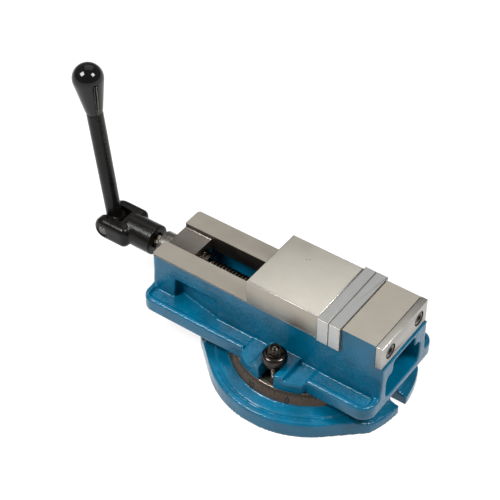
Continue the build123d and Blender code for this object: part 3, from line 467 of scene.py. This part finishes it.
def plain_metal(name, light, dark, roughness, patch_mm=5.0, metallic=1.0):
    """A small metal part: its colour and shine drift a little over its surface, as handling,
    oil and heat treatment leave them."""
    material, tree, shader = new_material(name, Metallic=metallic)
    place = add_node(tree, "TexCoord").outputs["Object"]
    patch = add_node(tree, "TexNoise", inputs={"Vector": place, "Scale": 1 / (patch_mm * MM), "Detail": 4})
    share = add_node(tree, "MapRange", inputs={"Value": patch.outputs[0], "From Min": 0.35, "From Max": 0.65})
    tint = add_node(
        tree, "Mix", {"data_type": "RGBA"}, {0: share.outputs[0], 6: linear(dark), 7: linear(light)}
    )
    tree.links.new(tint.outputs[2], shader.inputs["Base Color"])
    rough_range = {"To Min": roughness + 0.06, "To Max": roughness - 0.06}
    rough = add_node(tree, "MapRange", inputs={"Value": share.outputs[0], **rough_range})
    tree.links.new(rough.outputs[0], shader.inputs["Roughness"])
    return material


# Oiled steel as it comes off the lathe: mid grey, with a clear shine.
turned_steel = plain_metal("turned_steel_oiled", "#8E8A84", "#5F5B56", 0.32)
dress("centre_pivot", turned_steel)

# ---- clamping bolts, washers and nuts ----------------------------------------------------
# Two T-bolts rise from the base's slot through the ears. Each carries a thick washer and a domed flange nut
# of blackened steel that still has oil on it. Each bolt is blackened above its washer and lighter turned
# steel below it, and a thin band round the foot of each nut's flange is the lighter steel too.
BOLT_PLACE_Y = 75.5 * MM
BOLT_RADIUS = 5 * MM
BOLT_PITCH = 1.5 * MM
BOLT_BODY_TOP = 30 * MM
BOLT_END = 90.5 * MM
BOLT_TIP = 1.6 * MM
WASHER_FOOT = 63 * MM
WASHER_TOP = 69.3 * MM
NUT_FLANGE_TOP = 75.0 * MM
NUT_FLANGE_RADIUS = 15.85 * MM
NUT_DOME_RADIUS = 11.7 * MM
NUT_DOME_TOP = 79.8 * MM
NUT_FLATS = 16 * MM
NUT_TOP = 88 * MM


def threaded(length, crest, depth, pitch, hand, segments=64, per_pitch=12):
    """A threaded rod along +Z: one ridge of flat-topped section wound round it. Hand is 1 for a
    right-hand thread and -1 for a left-hand one."""
    rows = int(length / pitch * per_pitch)
    points, faces = [], []
    for row in range(rows + 1):
        height = length * row / rows
        runout = min(1.0, height / pitch, (length - height) / pitch)
        for i in range(segments):
            angle = tau * i / segments
            turn = (height / pitch - hand * i / segments) % 1.0
            ridge = min(1.0, max(0.0, 2.0 - 5.0 * abs(turn - 0.5)))
            reach = crest - depth * (1 - ridge * runout)
            points.append((reach * cos(angle), reach * sin(angle), height))
    for row in range(rows):
        for i in range(segments):
            j = (i + 1) % segments
            low, high = row * segments, (row + 1) * segments
            faces.append((low + i, low + j, high + j, high + i))
    faces.append(tuple(reversed(range(segments))))
    faces.append(tuple(range(rows * segments, (rows + 1) * segments)))
    mesh = bpy.data.meshes.new("thread")
    mesh.from_pydata(points, [], faces)
    return mesh


def aimed(mesh, foot, direction=(0, 0, 1)):
    """The same mesh, moved from the origin to a foot point and turned from +Z to a direction."""
    turn = Vector(direction).to_track_quat("Z", "Y").to_matrix().to_4x4()
    mesh.transform(Matrix.Translation(Vector(foot)) @ turn)
    return mesh


def cut_at(node, place, keep_side):
    """The part of a CAD node on one side of a plane, closed where it was cut."""
    work = bmesh.new()
    work.from_mesh(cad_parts[node].data)
    everything = [*work.verts, *work.edges, *work.faces]
    cut = bmesh.ops.bisect_plane(work, geom=everything, plane_co=place, plane_no=keep_side, clear_inner=True)
    bmesh.ops.holes_fill(work, edges=[e for e in cut["geom_cut"] if isinstance(e, bmesh.types.BMEdge)])
    kept = bpy.data.meshes.new(node)
    work.to_mesh(kept)
    work.free()
    kept.materials.clear()
    return kept


# Blackened steel, wet with oil: almost black, with small bright highlights. The same near-black also serves
# as painted shade in the joints between ground blocks and in the rear plate's counterbores.
black_oxide_and_gap_shade = plain_metal("black_oxide_oiled_and_painted_gap_shade", "#47423E", "#24201D", 0.24, patch_mm=9)
dome_height, dome_width = NUT_DOME_TOP - NUT_FLANGE_TOP, NUT_FLANGE_RADIUS - NUT_DOME_RADIUS
nut_dome = [
    (NUT_FLANGE_TOP + dome_height * sin(radians(t)), NUT_DOME_RADIUS + dome_width * cos(radians(t)))
    for t in range(0, 91, 15)
]
for name, side in (("near", -1), ("far", 1)):
    foot = Vector((0, side * BOLT_PLACE_Y, 0))
    head = cut_at(f"clamp_bolt_{name}", (0, 0, BOLT_BODY_TOP), (0, 0, -1))
    tip = turned([(0, 4.6 * MM), (0.6 * MM, 4.3 * MM), (1.2 * MM, 3.3 * MM), (BOLT_TIP, 1.6 * MM)], 48)
    rod = threaded(BOLT_END - BOLT_TIP - BOLT_BODY_TOP, BOLT_RADIUS, 0.85 * MM, BOLT_PITCH, 1)
    bolt_mesh = joined(
        "bolt",
        head,
        aimed(rod, foot + Vector((0, 0, BOLT_BODY_TOP))),
        aimed(tip, foot + Vector((0, 0, BOLT_END - BOLT_TIP))),
    )
    bolt = show(f"threaded_bolt_{name}", bolt_mesh, "vise", "black_oxide_steel", black_oxide_and_gap_shade, turned_steel)
    centres, _ = faces_of(bolt_mesh)
    share_out(bolt_mesh, centres[:, 2] < WASHER_TOP)
    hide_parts(f"clamp_bolt_{name}")

    washer_mesh = turned(
        [(0, 12.7 * MM), (0.5 * MM, 13.2 * MM), (5.6 * MM, 13.2 * MM), (6.25 * MM, 12.5 * MM)]
    )
    aimed(washer_mesh, foot + Vector((0, 0, WASHER_FOOT)))
    washer = show(f"thick_washer_{name}", washer_mesh, "vise", "black_oxide_steel", black_oxide_and_gap_shade)
    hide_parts(f"clamp_washer_{name}")

    nut_mesh = turned(
        [
            (WASHER_TOP + 0.03 * MM, NUT_FLANGE_RADIUS - 0.6 * MM),
            (WASHER_TOP + 0.6 * MM, NUT_FLANGE_RADIUS),
            *nut_dome,
            (NUT_DOME_TOP + 0.05 * MM, NUT_DOME_RADIUS - 0.5 * MM),
            (NUT_DOME_TOP - 0.4 * MM, NUT_DOME_RADIUS - 1.2 * MM),
            (NUT_DOME_TOP - 0.4 * MM, 9.2 * MM, NUT_FLATS),
            (NUT_TOP - 1.2 * MM, 9.2 * MM, NUT_FLATS),
            (NUT_TOP - 0.1 * MM, 7.9 * MM, NUT_FLATS),
            (NUT_TOP, 7.6 * MM, NUT_FLATS),
            (NUT_TOP, 6.0 * MM),
            (NUT_TOP - 0.9 * MM, 5.1 * MM),
            (NUT_TOP - 2.5 * MM, 4.6 * MM),
        ],
        flats_turn=pi / 6,
    )
    aimed(nut_mesh, foot)
    nut = show(f"flange_nut_{name}", nut_mesh, f"{name}_nut", "black_oxide_steel", black_oxide_and_gap_shade, turned_steel)
    centres, _ = faces_of(nut_mesh)
    share_out(nut_mesh, centres[:, 2] < WASHER_TOP + 0.7 * MM)
    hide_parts(f"clamp_nut_{name}")

# ---- moving jaw ----------------------------------------------------------------------------
# A block of hardened steel, surface ground on every side, with its long edges stoned off.
# Two small punch marks on its top pair it with its own body.
JAW_EDGE = 0.5 * MM
JOINTS_X = (43 * MM, 59.1 * MM, FIXED_FACE_X, 122.6 * MM)  # where two ground blocks meet
JOINT_REACH = 0.28 * MM
PUNCH_MARKS = ((-21.6 * MM, 21.8 * MM), (-18.3 * MM, 24.2 * MM))
JAW_TOP = 146 * MM


def eased(node, width, longer_than=8 * MM):
    """A copy of a CAD node with its long sharp edges rounded off."""
    work = bmesh.new()
    work.from_mesh(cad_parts[node].data)
    bmesh.ops.remove_doubles(work, verts=work.verts, dist=0.002 * MM)
    bmesh.ops.dissolve_limit(work, angle_limit=radians(0.5), verts=work.verts, edges=work.edges)
    paired = [e for e in work.edges if len(e.link_faces) == 2]
    long_edges = [e for e in paired if e.calc_face_angle() > radians(30) and e.calc_length() > longer_than]
    bmesh.ops.bevel(work, geom=long_edges, offset=width, segments=2, profile=0.5, affect="EDGES")
    mesh = bpy.data.meshes.new(node)
    work.to_mesh(mesh)
    work.free()
    mesh.materials.clear()
    return mesh


def split_faces(mesh):
    """Shares out four materials by how each face is turned, so that one steel can take lit and shaded copies:
    the faces that look up, the upright ones, the broken edges for a painted highlight, and the joints between
    one block and the next, which hold oil and are darkened as painted shade."""
    centres, normals = faces_of(mesh)
    askew = np.abs(normals).max(axis=1) < 0.985
    upright = np.abs(normals[:, 2]) < 0.5
    from_joint = np.abs(centres[:, 0, None] - np.array(JOINTS_X)).min(axis=1)
    in_joint = askew & (from_joint < JOINT_REACH)
    zones = np.where(in_joint, 3, np.where(askew, 2, np.where(upright, 1, 0)))
    share_out(mesh, zones)


# Fresh from the grinding wheel. One steel in copies chosen by how a face is turned: the top is painted the
# palest and the sides duller, as painted light and shade, and the stoned edges are painted lighter as thin
# highlight lines.
jaw_top_painted_light = machined_metal("ground_jaw_steel_painted_lit_top", "#D4CFC4", "#C8C3B7", 0.42, "X", line_mm=0.5)
jaw_side_painted_shade = machined_metal("ground_jaw_steel_painted_shaded_side", "#AFA89D", "#A19A8F", 0.44, "X", line_mm=0.5)
hard_steel_and_edge_highlight = plain_metal("hard_steel_and_painted_edge_highlight", "#BBB8B1", "#A29E97", 0.36)
jaw_mesh = eased("moving_jaw", JAW_EDGE)
jaw_metals = (jaw_top_painted_light, jaw_side_painted_shade, hard_steel_and_edge_highlight, black_oxide_and_gap_shade)
moving_jaw = show("ground_moving_jaw", jaw_mesh, "jaw", "ground_steel", *jaw_metals)
split_faces(jaw_mesh)
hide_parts("moving_jaw")
# Each punch mark is a thin near-black disc standing just proud of the top: painted shade in place of a dent.
punch_dot = [(-0.3 * MM, 0.75 * MM), (0.03 * MM, 0.7 * MM), (0.04 * MM, 0.35 * MM)]
dots = [aimed(turned(punch_dot, 24), (x, y, JAW_TOP)) for x, y in PUNCH_MARKS]
show("punch_mark_dent_shade", joined("punch_mark_dent_shade", *dots), "jaw", "black_oxide_steel", ink_and_dent_shade)

# ---- lock screw, jaw nut and half ball --------------------------------------------------------
# Inside the jaw: the nut of machined iron whose leaning neck bears on a half ball of hardened
# steel, and the black set screw in the jaw's back that takes up their play.
dress("jaw_lock_screw", black_oxide_and_gap_shade)
dress("jaw_nut", machined_metal("milled_iron_nut", "#7A756E", "#514C46", 0.45, "Y", line_mm=1.2))
dress("lock_segment", hard_steel_and_edge_highlight)

# ---- jaw plates ----------------------------------------------------------------------------
# Two hardened steel plates, ground finer and cooler in tone than the jaws, with bevelled edges.
# Each is held by two socket screws in counterbores.
# Harder steel from a finer wheel: cooler, smoother and nearer to white than the jaws. Its upright faces are
# painted a little lighter than its tops, as painted light, and its edges take the painted highlight.
PLATE_EDGE = 0.4 * MM
plate_top_painted_light = machined_metal(
    "ground_plate_steel_painted_top_light", "#B6B6B4", "#A6A6A4", 0.33, "Y", line_mm=0.5, depth_mm=0.03
)
plate_upright_painted_light = machined_metal("ground_plate_steel_painted_upright_light", "#BDBDBA", "#ADADAA", 0.38, "Y", line_mm=0.5)
for node, body in (("moving_jaw_plate", "jaw"), ("fixed_jaw_plate", "vise")):
    plate_mesh = eased(node, PLATE_EDGE)
    plate_metals = (plate_top_painted_light, plate_upright_painted_light, hard_steel_and_edge_highlight, black_oxide_and_gap_shade)
    plate = show(f"ground_{node}", plate_mesh, body, "ground_steel", *plate_metals)
    split_faces(plate_mesh)
    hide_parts(node)
dress("moving_plate_screws", black_oxide_and_gap_shade)
dress("fixed_plate_screws", black_oxide_and_gap_shade)

# ---- rear plate ----------------------------------------------------------------------------
# A ground steel plate on the outer face of the fixed jaw, with two black socket screws sunk in
# counterbores.
SCREW_HEAD_RADIUS = 9.3 * MM
SCREW_KEY = 8 * MM
REAR_SCREW_Z = 127 * MM
REAR_SCREW_Y = 32 * MM
REAR_HEAD_X = 131.6 * MM
COUNTERBORE_RADIUS = 10.4 * MM
rear_mesh = eased("rear_jaw_plate", PLATE_EDGE)
# Ground on the flat and left a little rough, it is a matt light grey, and its bevelled edges take the painted
# highlight steel.
rear_steel = machined_metal("ground_rear_plate", "#B0ADA7", "#A19E98", 0.42, "Y", line_mm=0.5)
rear_metals = (rear_steel, rear_steel, hard_steel_and_edge_highlight, black_oxide_and_gap_shade)
rear_plate = show("ground_rear_plate", rear_mesh, "vise", "ground_steel", *rear_metals)
split_faces(rear_mesh)
centres, _ = faces_of(rear_mesh)
from_screw = np.hypot(np.abs(centres[:, 1]) - REAR_SCREW_Y, centres[:, 2] - REAR_SCREW_Z)
zones = np.zeros(len(rear_mesh.polygons), int)
rear_mesh.polygons.foreach_get("material_index", zones)
# The counterbores' walls and floors take the near-black steel: painted shade round the sunk screw heads.
in_hole = (from_screw < COUNTERBORE_RADIUS) & (centres[:, 0] < REAR_HEAD_X + 0.4 * MM)
share_out(rear_mesh, np.where(in_hole, 3, zones))
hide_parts("rear_jaw_plate")


def socket_head(radius, height, key):
    """The head of a socket cap screw, standing on +Z, with its hexagon hole."""
    return turned(
        [
            (-height, radius),
            (-1.0 * MM, radius),
            (-0.2 * MM, radius - 0.8 * MM),
            (0, radius - 1.2 * MM),
            (0, key * 0.62),
            (-0.5 * MM, key * 0.6, key),
            (-height * 0.6, key * 0.6, key),
        ]
    )


heads = [
    aimed(
        socket_head(SCREW_HEAD_RADIUS, 6 * MM, SCREW_KEY),
        (REAR_HEAD_X, side * REAR_SCREW_Y, REAR_SCREW_Z),
        (1, 0, 0),
    )
    for side in (-1, 1)
]
shanks = cut_at("rear_plate_screws", (REAR_HEAD_X - 5.5 * MM, 0, 0), (-1, 0, 0))
screws_mesh = joined("rear_screws", shanks, *heads)
rear_screws = show("rear_socket_screws", screws_mesh, "vise", "black_oxide_steel", black_oxide_and_gap_shade)
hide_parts("rear_plate_screws")

# ---- lead screw ----------------------------------------------------------------------------
# A steel screw with a left-hand thread of 5 mm pitch, dark with oil. A shoulder bears on the
# thrust bearing, and a hexagon at the other end takes the handle.
THREAD_LEFT, THREAD_RIGHT = -153 * MM, 36 * MM
THREAD_RADIUS = 11 * MM
THREAD_DEPTH = 2.4 * MM
THREAD_PITCH = 5 * MM
JOURNAL_RADIUS = 10 * MM
SHOULDER_RADIUS = 16 * MM
SHOULDER_LEFT = -159 * MM
HEXAGON_CORNER = 10.97 * MM
SHANK_LEFT = -226.5 * MM
DRIVE_LEFT = -262 * MM
DRIVE_FLATS = 19 * MM
# Old oil turns the rolled thread brown-black, and its crests glint.
oiled_screw = plain_metal("rolled_thread_steel_oiled", "#5B544C", "#2A2622", 0.28, patch_mm=9)
thread = threaded(THREAD_RIGHT - THREAD_LEFT, THREAD_RADIUS, THREAD_DEPTH, THREAD_PITCH, -1)
shank = turned(
    [
        (DRIVE_LEFT, 8.6 * MM, DRIVE_FLATS),
        (DRIVE_LEFT + 1.4 * MM, HEXAGON_CORNER, DRIVE_FLATS),
        (SHANK_LEFT, HEXAGON_CORNER, DRIVE_FLATS),
        (SHANK_LEFT, JOURNAL_RADIUS),
        (SHOULDER_LEFT, JOURNAL_RADIUS),
        (SHOULDER_LEFT, SHOULDER_RADIUS - 0.6 * MM),
        (-158.4 * MM, SHOULDER_RADIUS),
        (-153.8 * MM, SHOULDER_RADIUS),
        (THREAD_LEFT, SHOULDER_RADIUS - 0.8 * MM),
        (THREAD_LEFT, THREAD_RADIUS - THREAD_DEPTH),
    ]
)
on_axis = Vector((0, 0, SCREW_HEIGHT))
screw_mesh = joined(
    "screw",
    aimed(shank, on_axis, (1, 0, 0)),
    aimed(thread, on_axis + Vector((THREAD_LEFT, 0, 0)), (1, 0, 0)),
)
screw = show("threaded_lead_screw", screw_mesh, "screw", "machined_steel", oiled_screw)
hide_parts("lead_screw")

# ---- thrust bearing ------------------------------------------------------------------------
# Two ground washers with ten balls between them in a pressed brass cage, under the screw's shoulder. All of
# it is drawn in dark colours.
bearing_steel = plain_metal("ground_bearing_steel_dark", "#5A564F", "#37332E", 0.25)
for node in ("thrust_washer_front", "thrust_washer_rear", "thrust_balls"):
    dress(node, bearing_steel)
dress("thrust_cage", plain_metal("pressed_brass_dark", "#5E4922", "#3B2D15", 0.35))

# ---- collar --------------------------------------------------------------------------------
# A turned steel collar keeps the screw from drawing inwards. A black set screw locks it.
COLLAR_RADIUS = 18.5 * MM
COLLAR_LENGTH = 20 * MM
collar_mesh = turned(
    [
        (0, COLLAR_RADIUS - 1.6 * MM),
        (0.25 * MM, COLLAR_RADIUS - 1.2 * MM),
        (1.3 * MM, COLLAR_RADIUS - 0.1 * MM),
        (1.7 * MM, COLLAR_RADIUS),
        (COLLAR_LENGTH - 0.6 * MM, COLLAR_RADIUS),
        (COLLAR_LENGTH - 0.1 * MM, COLLAR_RADIUS - 0.5 * MM),
    ]
)
aimed(collar_mesh, on_axis + Vector((SHANK_LEFT, 0, 0)), (1, 0, 0))
# Turned and wiped with oil, it is a smooth mid grey, streaked with brighter patches.
collar_steel = plain_metal("turned_collar_steel", "#8B8782", "#5F5B57", 0.3, patch_mm=7)
collar = show("turned_collar", collar_mesh, "screw", "machined_steel", collar_steel)
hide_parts("spindle_collar")
set_screw = turned(
    [
        (0, 2.9 * MM),
        (0.4 * MM, 3.0 * MM),
        (1.6 * MM, 2.9 * MM),
        (1.7 * MM, 2.2 * MM),
        (1.7 * MM, 1.8 * MM, 3 * MM),
        (0.3 * MM, 1.8 * MM, 3 * MM),
    ],
    48,
)
aimed(set_screw, on_axis + Vector((SHANK_LEFT + COLLAR_LENGTH / 2, -17.0 * MM, 0)), (0, -1, 0))
collar_screw = show("collar_grub_screw", set_screw, "screw", "black_oxide_steel", black_oxide_and_gap_shade)
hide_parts("collar_set_screw")

# ---- handle hub and pin ------------------------------------------------------------------------
# A black lacquered forging: a socket for the screw's hexagon that opens into a fork. The pin
# through the fork is steel, headed over at both ends, with lacquer left round its rim.
FORGED_VOXEL = 0.7 * MM
SOCKET_RADIUS = 11.8 * MM
SOCKET_END_X = -267 * MM
HUB_OPEN_X = -237.8 * MM
PIN_PLACE = Vector((-307 * MM, 0, SCREW_HEIGHT))
PIN_RADIUS = 6.86 * MM
PIN_FACE_RADIUS = 6.2 * MM


def is_hub_bore(points):
    """The hub's bored and faced surfaces: its socket and its open end."""
    x, y, z = points.T
    from_axis = np.hypot(y, z - SCREW_HEIGHT)
    socket = (from_axis < SOCKET_RADIUS) & (x > SOCKET_END_X)
    return socket | (x > HUB_OPEN_X)


# Stoved lacquer over a forging's skin: black, half glossy, and rippled like orange peel. Its index
# is set under the usual 1.5, as its gloss is dulled by handling.
lacquer, lacquer_tree, lacquer_shader = new_material("black_lacquer_on_forging", IOR=1.3)
place = add_node(lacquer_tree, "TexCoord").outputs["Object"]
scale_patch = add_node(lacquer_tree, "TexNoise", inputs={"Vector": place, "Scale": 1 / (6 * MM), "Detail": 4})
lacquer_tint = add_node(
    lacquer_tree,
    "Mix",
    {"data_type": "RGBA"},
    {0: scale_patch.outputs[0], 6: linear("#060505"), 7: linear("#110F0D")},
)
lacquer_tree.links.new(lacquer_tint.outputs[2], lacquer_shader.inputs["Base Color"])
lacquer_dull = add_node(
    lacquer_tree,
    "MapRange",
    inputs={**NOISE_SPREAD, "Value": scale_patch.outputs[0], "To Min": 0.2, "To Max": 0.34},
)
lacquer_tree.links.new(lacquer_dull.outputs[0], lacquer_shader.inputs["Roughness"])
orange_peel = add_node(
    lacquer_tree, "TexNoise", inputs={"Vector": place, "Scale": 1 / (1.4 * MM), "Detail": 2}
)
peel_bump = add_node(
    lacquer_tree, "Bump", inputs={"Height": orange_peel.outputs[0], "Strength": 0.3, "Distance": 0.12 * MM}
)
lacquer_tree.links.new(peel_bump.outputs[0], lacquer_shader.inputs["Normal"])
hub_mesh = cast_skin("handle_hub", is_hub_bore, rounds=4, wave=0.08 * MM, voxel=FORGED_VOXEL)
hub = show("forged_hub", hub_mesh, "hub", "black_lacquer_forging", lacquer)
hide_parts("handle_hub")

pin_half = 26 * MM
pin_mesh = turned(
    [
        (-pin_half - 1.0 * MM, 3.0 * MM),
        (-pin_half - 0.8 * MM, 6.0 * MM),
        (-pin_half - 0.1 * MM, 8.2 * MM),
        (-pin_half + 0.6 * MM, 8.6 * MM),
        (-pin_half + 1.8 * MM, 8.4 * MM),
        (-pin_half + 1.8 * MM, PIN_RADIUS),
        (pin_half - 1.8 * MM, PIN_RADIUS),
        (pin_half - 1.8 * MM, 8.4 * MM),
        (pin_half - 0.6 * MM, 8.6 * MM),
        (pin_half + 0.1 * MM, 8.2 * MM),
        (pin_half + 0.8 * MM, 6.0 * MM),
        (pin_half + 1.0 * MM, 3.0 * MM),
    ],
    64,
)
aimed(pin_mesh, PIN_PLACE, (0, -1, 0))
# Hammered steel, drawn with small bright and dark patches side by side.
pin_steel = plain_metal("peened_pin_steel", "#7A7671", "#35312D", 0.32, patch_mm=3)
pin = show("peened_pin", pin_mesh, "hub", "machined_steel", pin_steel, lacquer)
centres, _ = faces_of(pin_mesh)
share_out(pin_mesh, np.hypot(centres[:, 0] - PIN_PLACE.x, centres[:, 2] - PIN_PLACE.z) > PIN_FACE_RADIUS)
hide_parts("handle_pin")

# ---- folding arm -------------------------------------------------------------------------------
# A forged bar with an eye on the pin. It is finished in the same black lacquer as the hub, and a
# stud at its upper end holds the grip.
EYE_BORE = 7.6 * MM
EYE_RADIUS = 12 * MM
EYE_CHEEK = 10.4 * MM


def is_eye_bore(points):
    """The arm's bored hole and its milled cheeks."""
    from_pin = np.hypot(points[:, 0] - PIN_PLACE.x, points[:, 2] - PIN_PLACE.z)
    return (from_pin < EYE_BORE) | ((from_pin < EYE_RADIUS) & (np.abs(points[:, 1]) > EYE_CHEEK))


arm_mesh = cast_skin("handle_arm", is_eye_bore, rounds=3, wave=0.06 * MM, voxel=FORGED_VOXEL)
arm = show("forged_arm", arm_mesh, "arm", "black_lacquer_forging", lacquer)
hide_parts("handle_arm")

# ---- ball grip ---------------------------------------------------------------------------------
# Black phenolic, moulded as a cone that runs into a ball, and polished. It turns on the arm's stud.
ARM_LEAN = radians(7)
GRIP_START = 170 * MM
BALL_AT = 220 * MM
BALL_RADIUS = 20 * MM
NECK_RADIUS = 10.9 * MM
NECK_STEPS, BALL_STEPS = 8, 30
NECK_JOIN = radians(10.8)  # where the cone runs into the ball without a crease
join_at, join_radius = BALL_AT - BALL_RADIUS * sin(NECK_JOIN), BALL_RADIUS * cos(NECK_JOIN)
grip_levels = [
    (GRIP_START, 10.3 * MM),
    (GRIP_START + 0.3 * MM, 10.8 * MM),
    (GRIP_START + 1.5 * MM, 11.0 * MM),
]
for step in range(1, NECK_STEPS + 1):
    share = step / NECK_STEPS
    neck_radius = NECK_RADIUS + (join_radius - NECK_RADIUS) * share
    grip_levels.append((GRIP_START + (join_at - GRIP_START) * share, neck_radius))
for step in range(1, BALL_STEPS):
    lift = -NECK_JOIN + (pi / 2 + NECK_JOIN) * step / BALL_STEPS
    grip_levels.append((BALL_AT + BALL_RADIUS * sin(lift), BALL_RADIUS * cos(lift)))
grip_levels.append((BALL_AT + BALL_RADIUS, 0.2 * MM))
grip_mesh = aimed(turned(grip_levels), PIN_PLACE, (-sin(ARM_LEAN), 0, cos(ARM_LEAN)))
# Polished phenolic is a deep black that mirrors the lamps as small sharp spots, dulled in places
# by hands.
phenolic, phenolic_tree, phenolic_shader = new_material("polished_black_phenolic", IOR=1.4)
place = add_node(phenolic_tree, "TexCoord").outputs["Object"]
wear = add_node(phenolic_tree, "TexNoise", inputs={"Vector": place, "Scale": 1 / (8 * MM), "Detail": 5})
wear_tint = add_node(
    phenolic_tree,
    "Mix",
    {"data_type": "RGBA"},
    {0: wear.outputs[0], 6: linear("#030303"), 7: linear("#0A0A0B")},
)
phenolic_tree.links.new(wear_tint.outputs[2], phenolic_shader.inputs["Base Color"])
wear_dull = add_node(
    phenolic_tree,
    "MapRange",
    inputs={**NOISE_SPREAD, "Value": wear.outputs[0], "To Min": 0.06, "To Max": 0.13},
)
phenolic_tree.links.new(wear_dull.outputs[0], phenolic_shader.inputs["Roughness"])
grip = show("moulded_grip", grip_mesh, "arm", "black_knob_plastic", phenolic)
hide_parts("handle_grip")

# ---- floor, light and camera -----------------------------------------------------------
# A white acrylic table lit from below, two small lamps and one broad one overhead, and an even
# surround. A long lens looks down on the vise's fixed-jaw end.
FLOOR_REACH = 8.0
TABLE_GLOW = 0.85
SURROUND = 0.25
floor_mesh = bpy.data.meshes.new("floor")
corners = [(x * FLOOR_REACH, y * FLOOR_REACH, 0) for x, y in ((-1, -1), (1, -1), (1, 1), (-1, 1))]
floor_mesh.from_pydata(corners, [], [(0, 1, 2, 3)])
floor = bpy.data.objects.new("floor", floor_mesh)
bpy.context.scene.collection.objects.link(floor)
# Opal acrylic glows evenly, so it is white to the eye and takes almost no shadow.
acrylic, _, _ = new_material(
    "lit_acrylic_table",
    Roughness=0.9,
    Base_Color=linear("#787878"),
    Emission_Color=linear("#FFFFFF"),
    Emission_Strength=TABLE_GLOW,
)
floor_mesh.materials.append(acrylic)

world = bpy.data.worlds.new("studio")
bpy.context.scene.world = world
world.use_nodes = True
surround = world.node_tree.nodes["Background"]
surround.inputs["Color"].default_value = linear("#FFFFFF")
surround.inputs["Strength"].default_value = SURROUND
middle = Vector((0, 0, 80 * MM))
for name, direction, distance, size, power in (
    ("left_lamp", (-0.41, -0.48, 0.77), 1.7, 0.6, 30),
    ("right_lamp", (0.53, 0.12, 0.83), 1.7, 0.6, 30),
    ("overhead_lamp", (-0.3, 0.4, 0.85), 2.2, 1.6, 7),
):
    lamp = bpy.data.lights.new(name, "AREA")
    lamp.size = size
    lamp.energy = power
    holder = bpy.data.objects.new(name, lamp)
    holder.location = middle + Vector(direction).normalized() * distance
    holder.rotation_euler = Vector(direction).to_track_quat("Z", "Y").to_euler()
    bpy.context.scene.collection.objects.link(holder)

AZIMUTH, ELEVATION, ROLL = 35.314, 43.267, 0.19
FOCAL_LENGTH_MM, SENSOR_MM = 107.91, 36
CAMERA_PLACE = (0.68212, -1.09034, 1.39892)
lens = bpy.data.cameras.new("camera")
lens.lens = FOCAL_LENGTH_MM
lens.sensor_width = SENSOR_MM
camera = bpy.data.objects.new("camera", lens)
camera.location = CAMERA_PLACE
camera.rotation_euler = (radians(90 - ELEVATION), 0, radians(AZIMUTH))
camera.rotation_euler.rotate_axis("Z", radians(ROLL))
bpy.context.scene.collection.objects.link(camera)
bpy.context.scene.camera = camera
bpy.context.scene.view_settings.view_transform = "Standard"
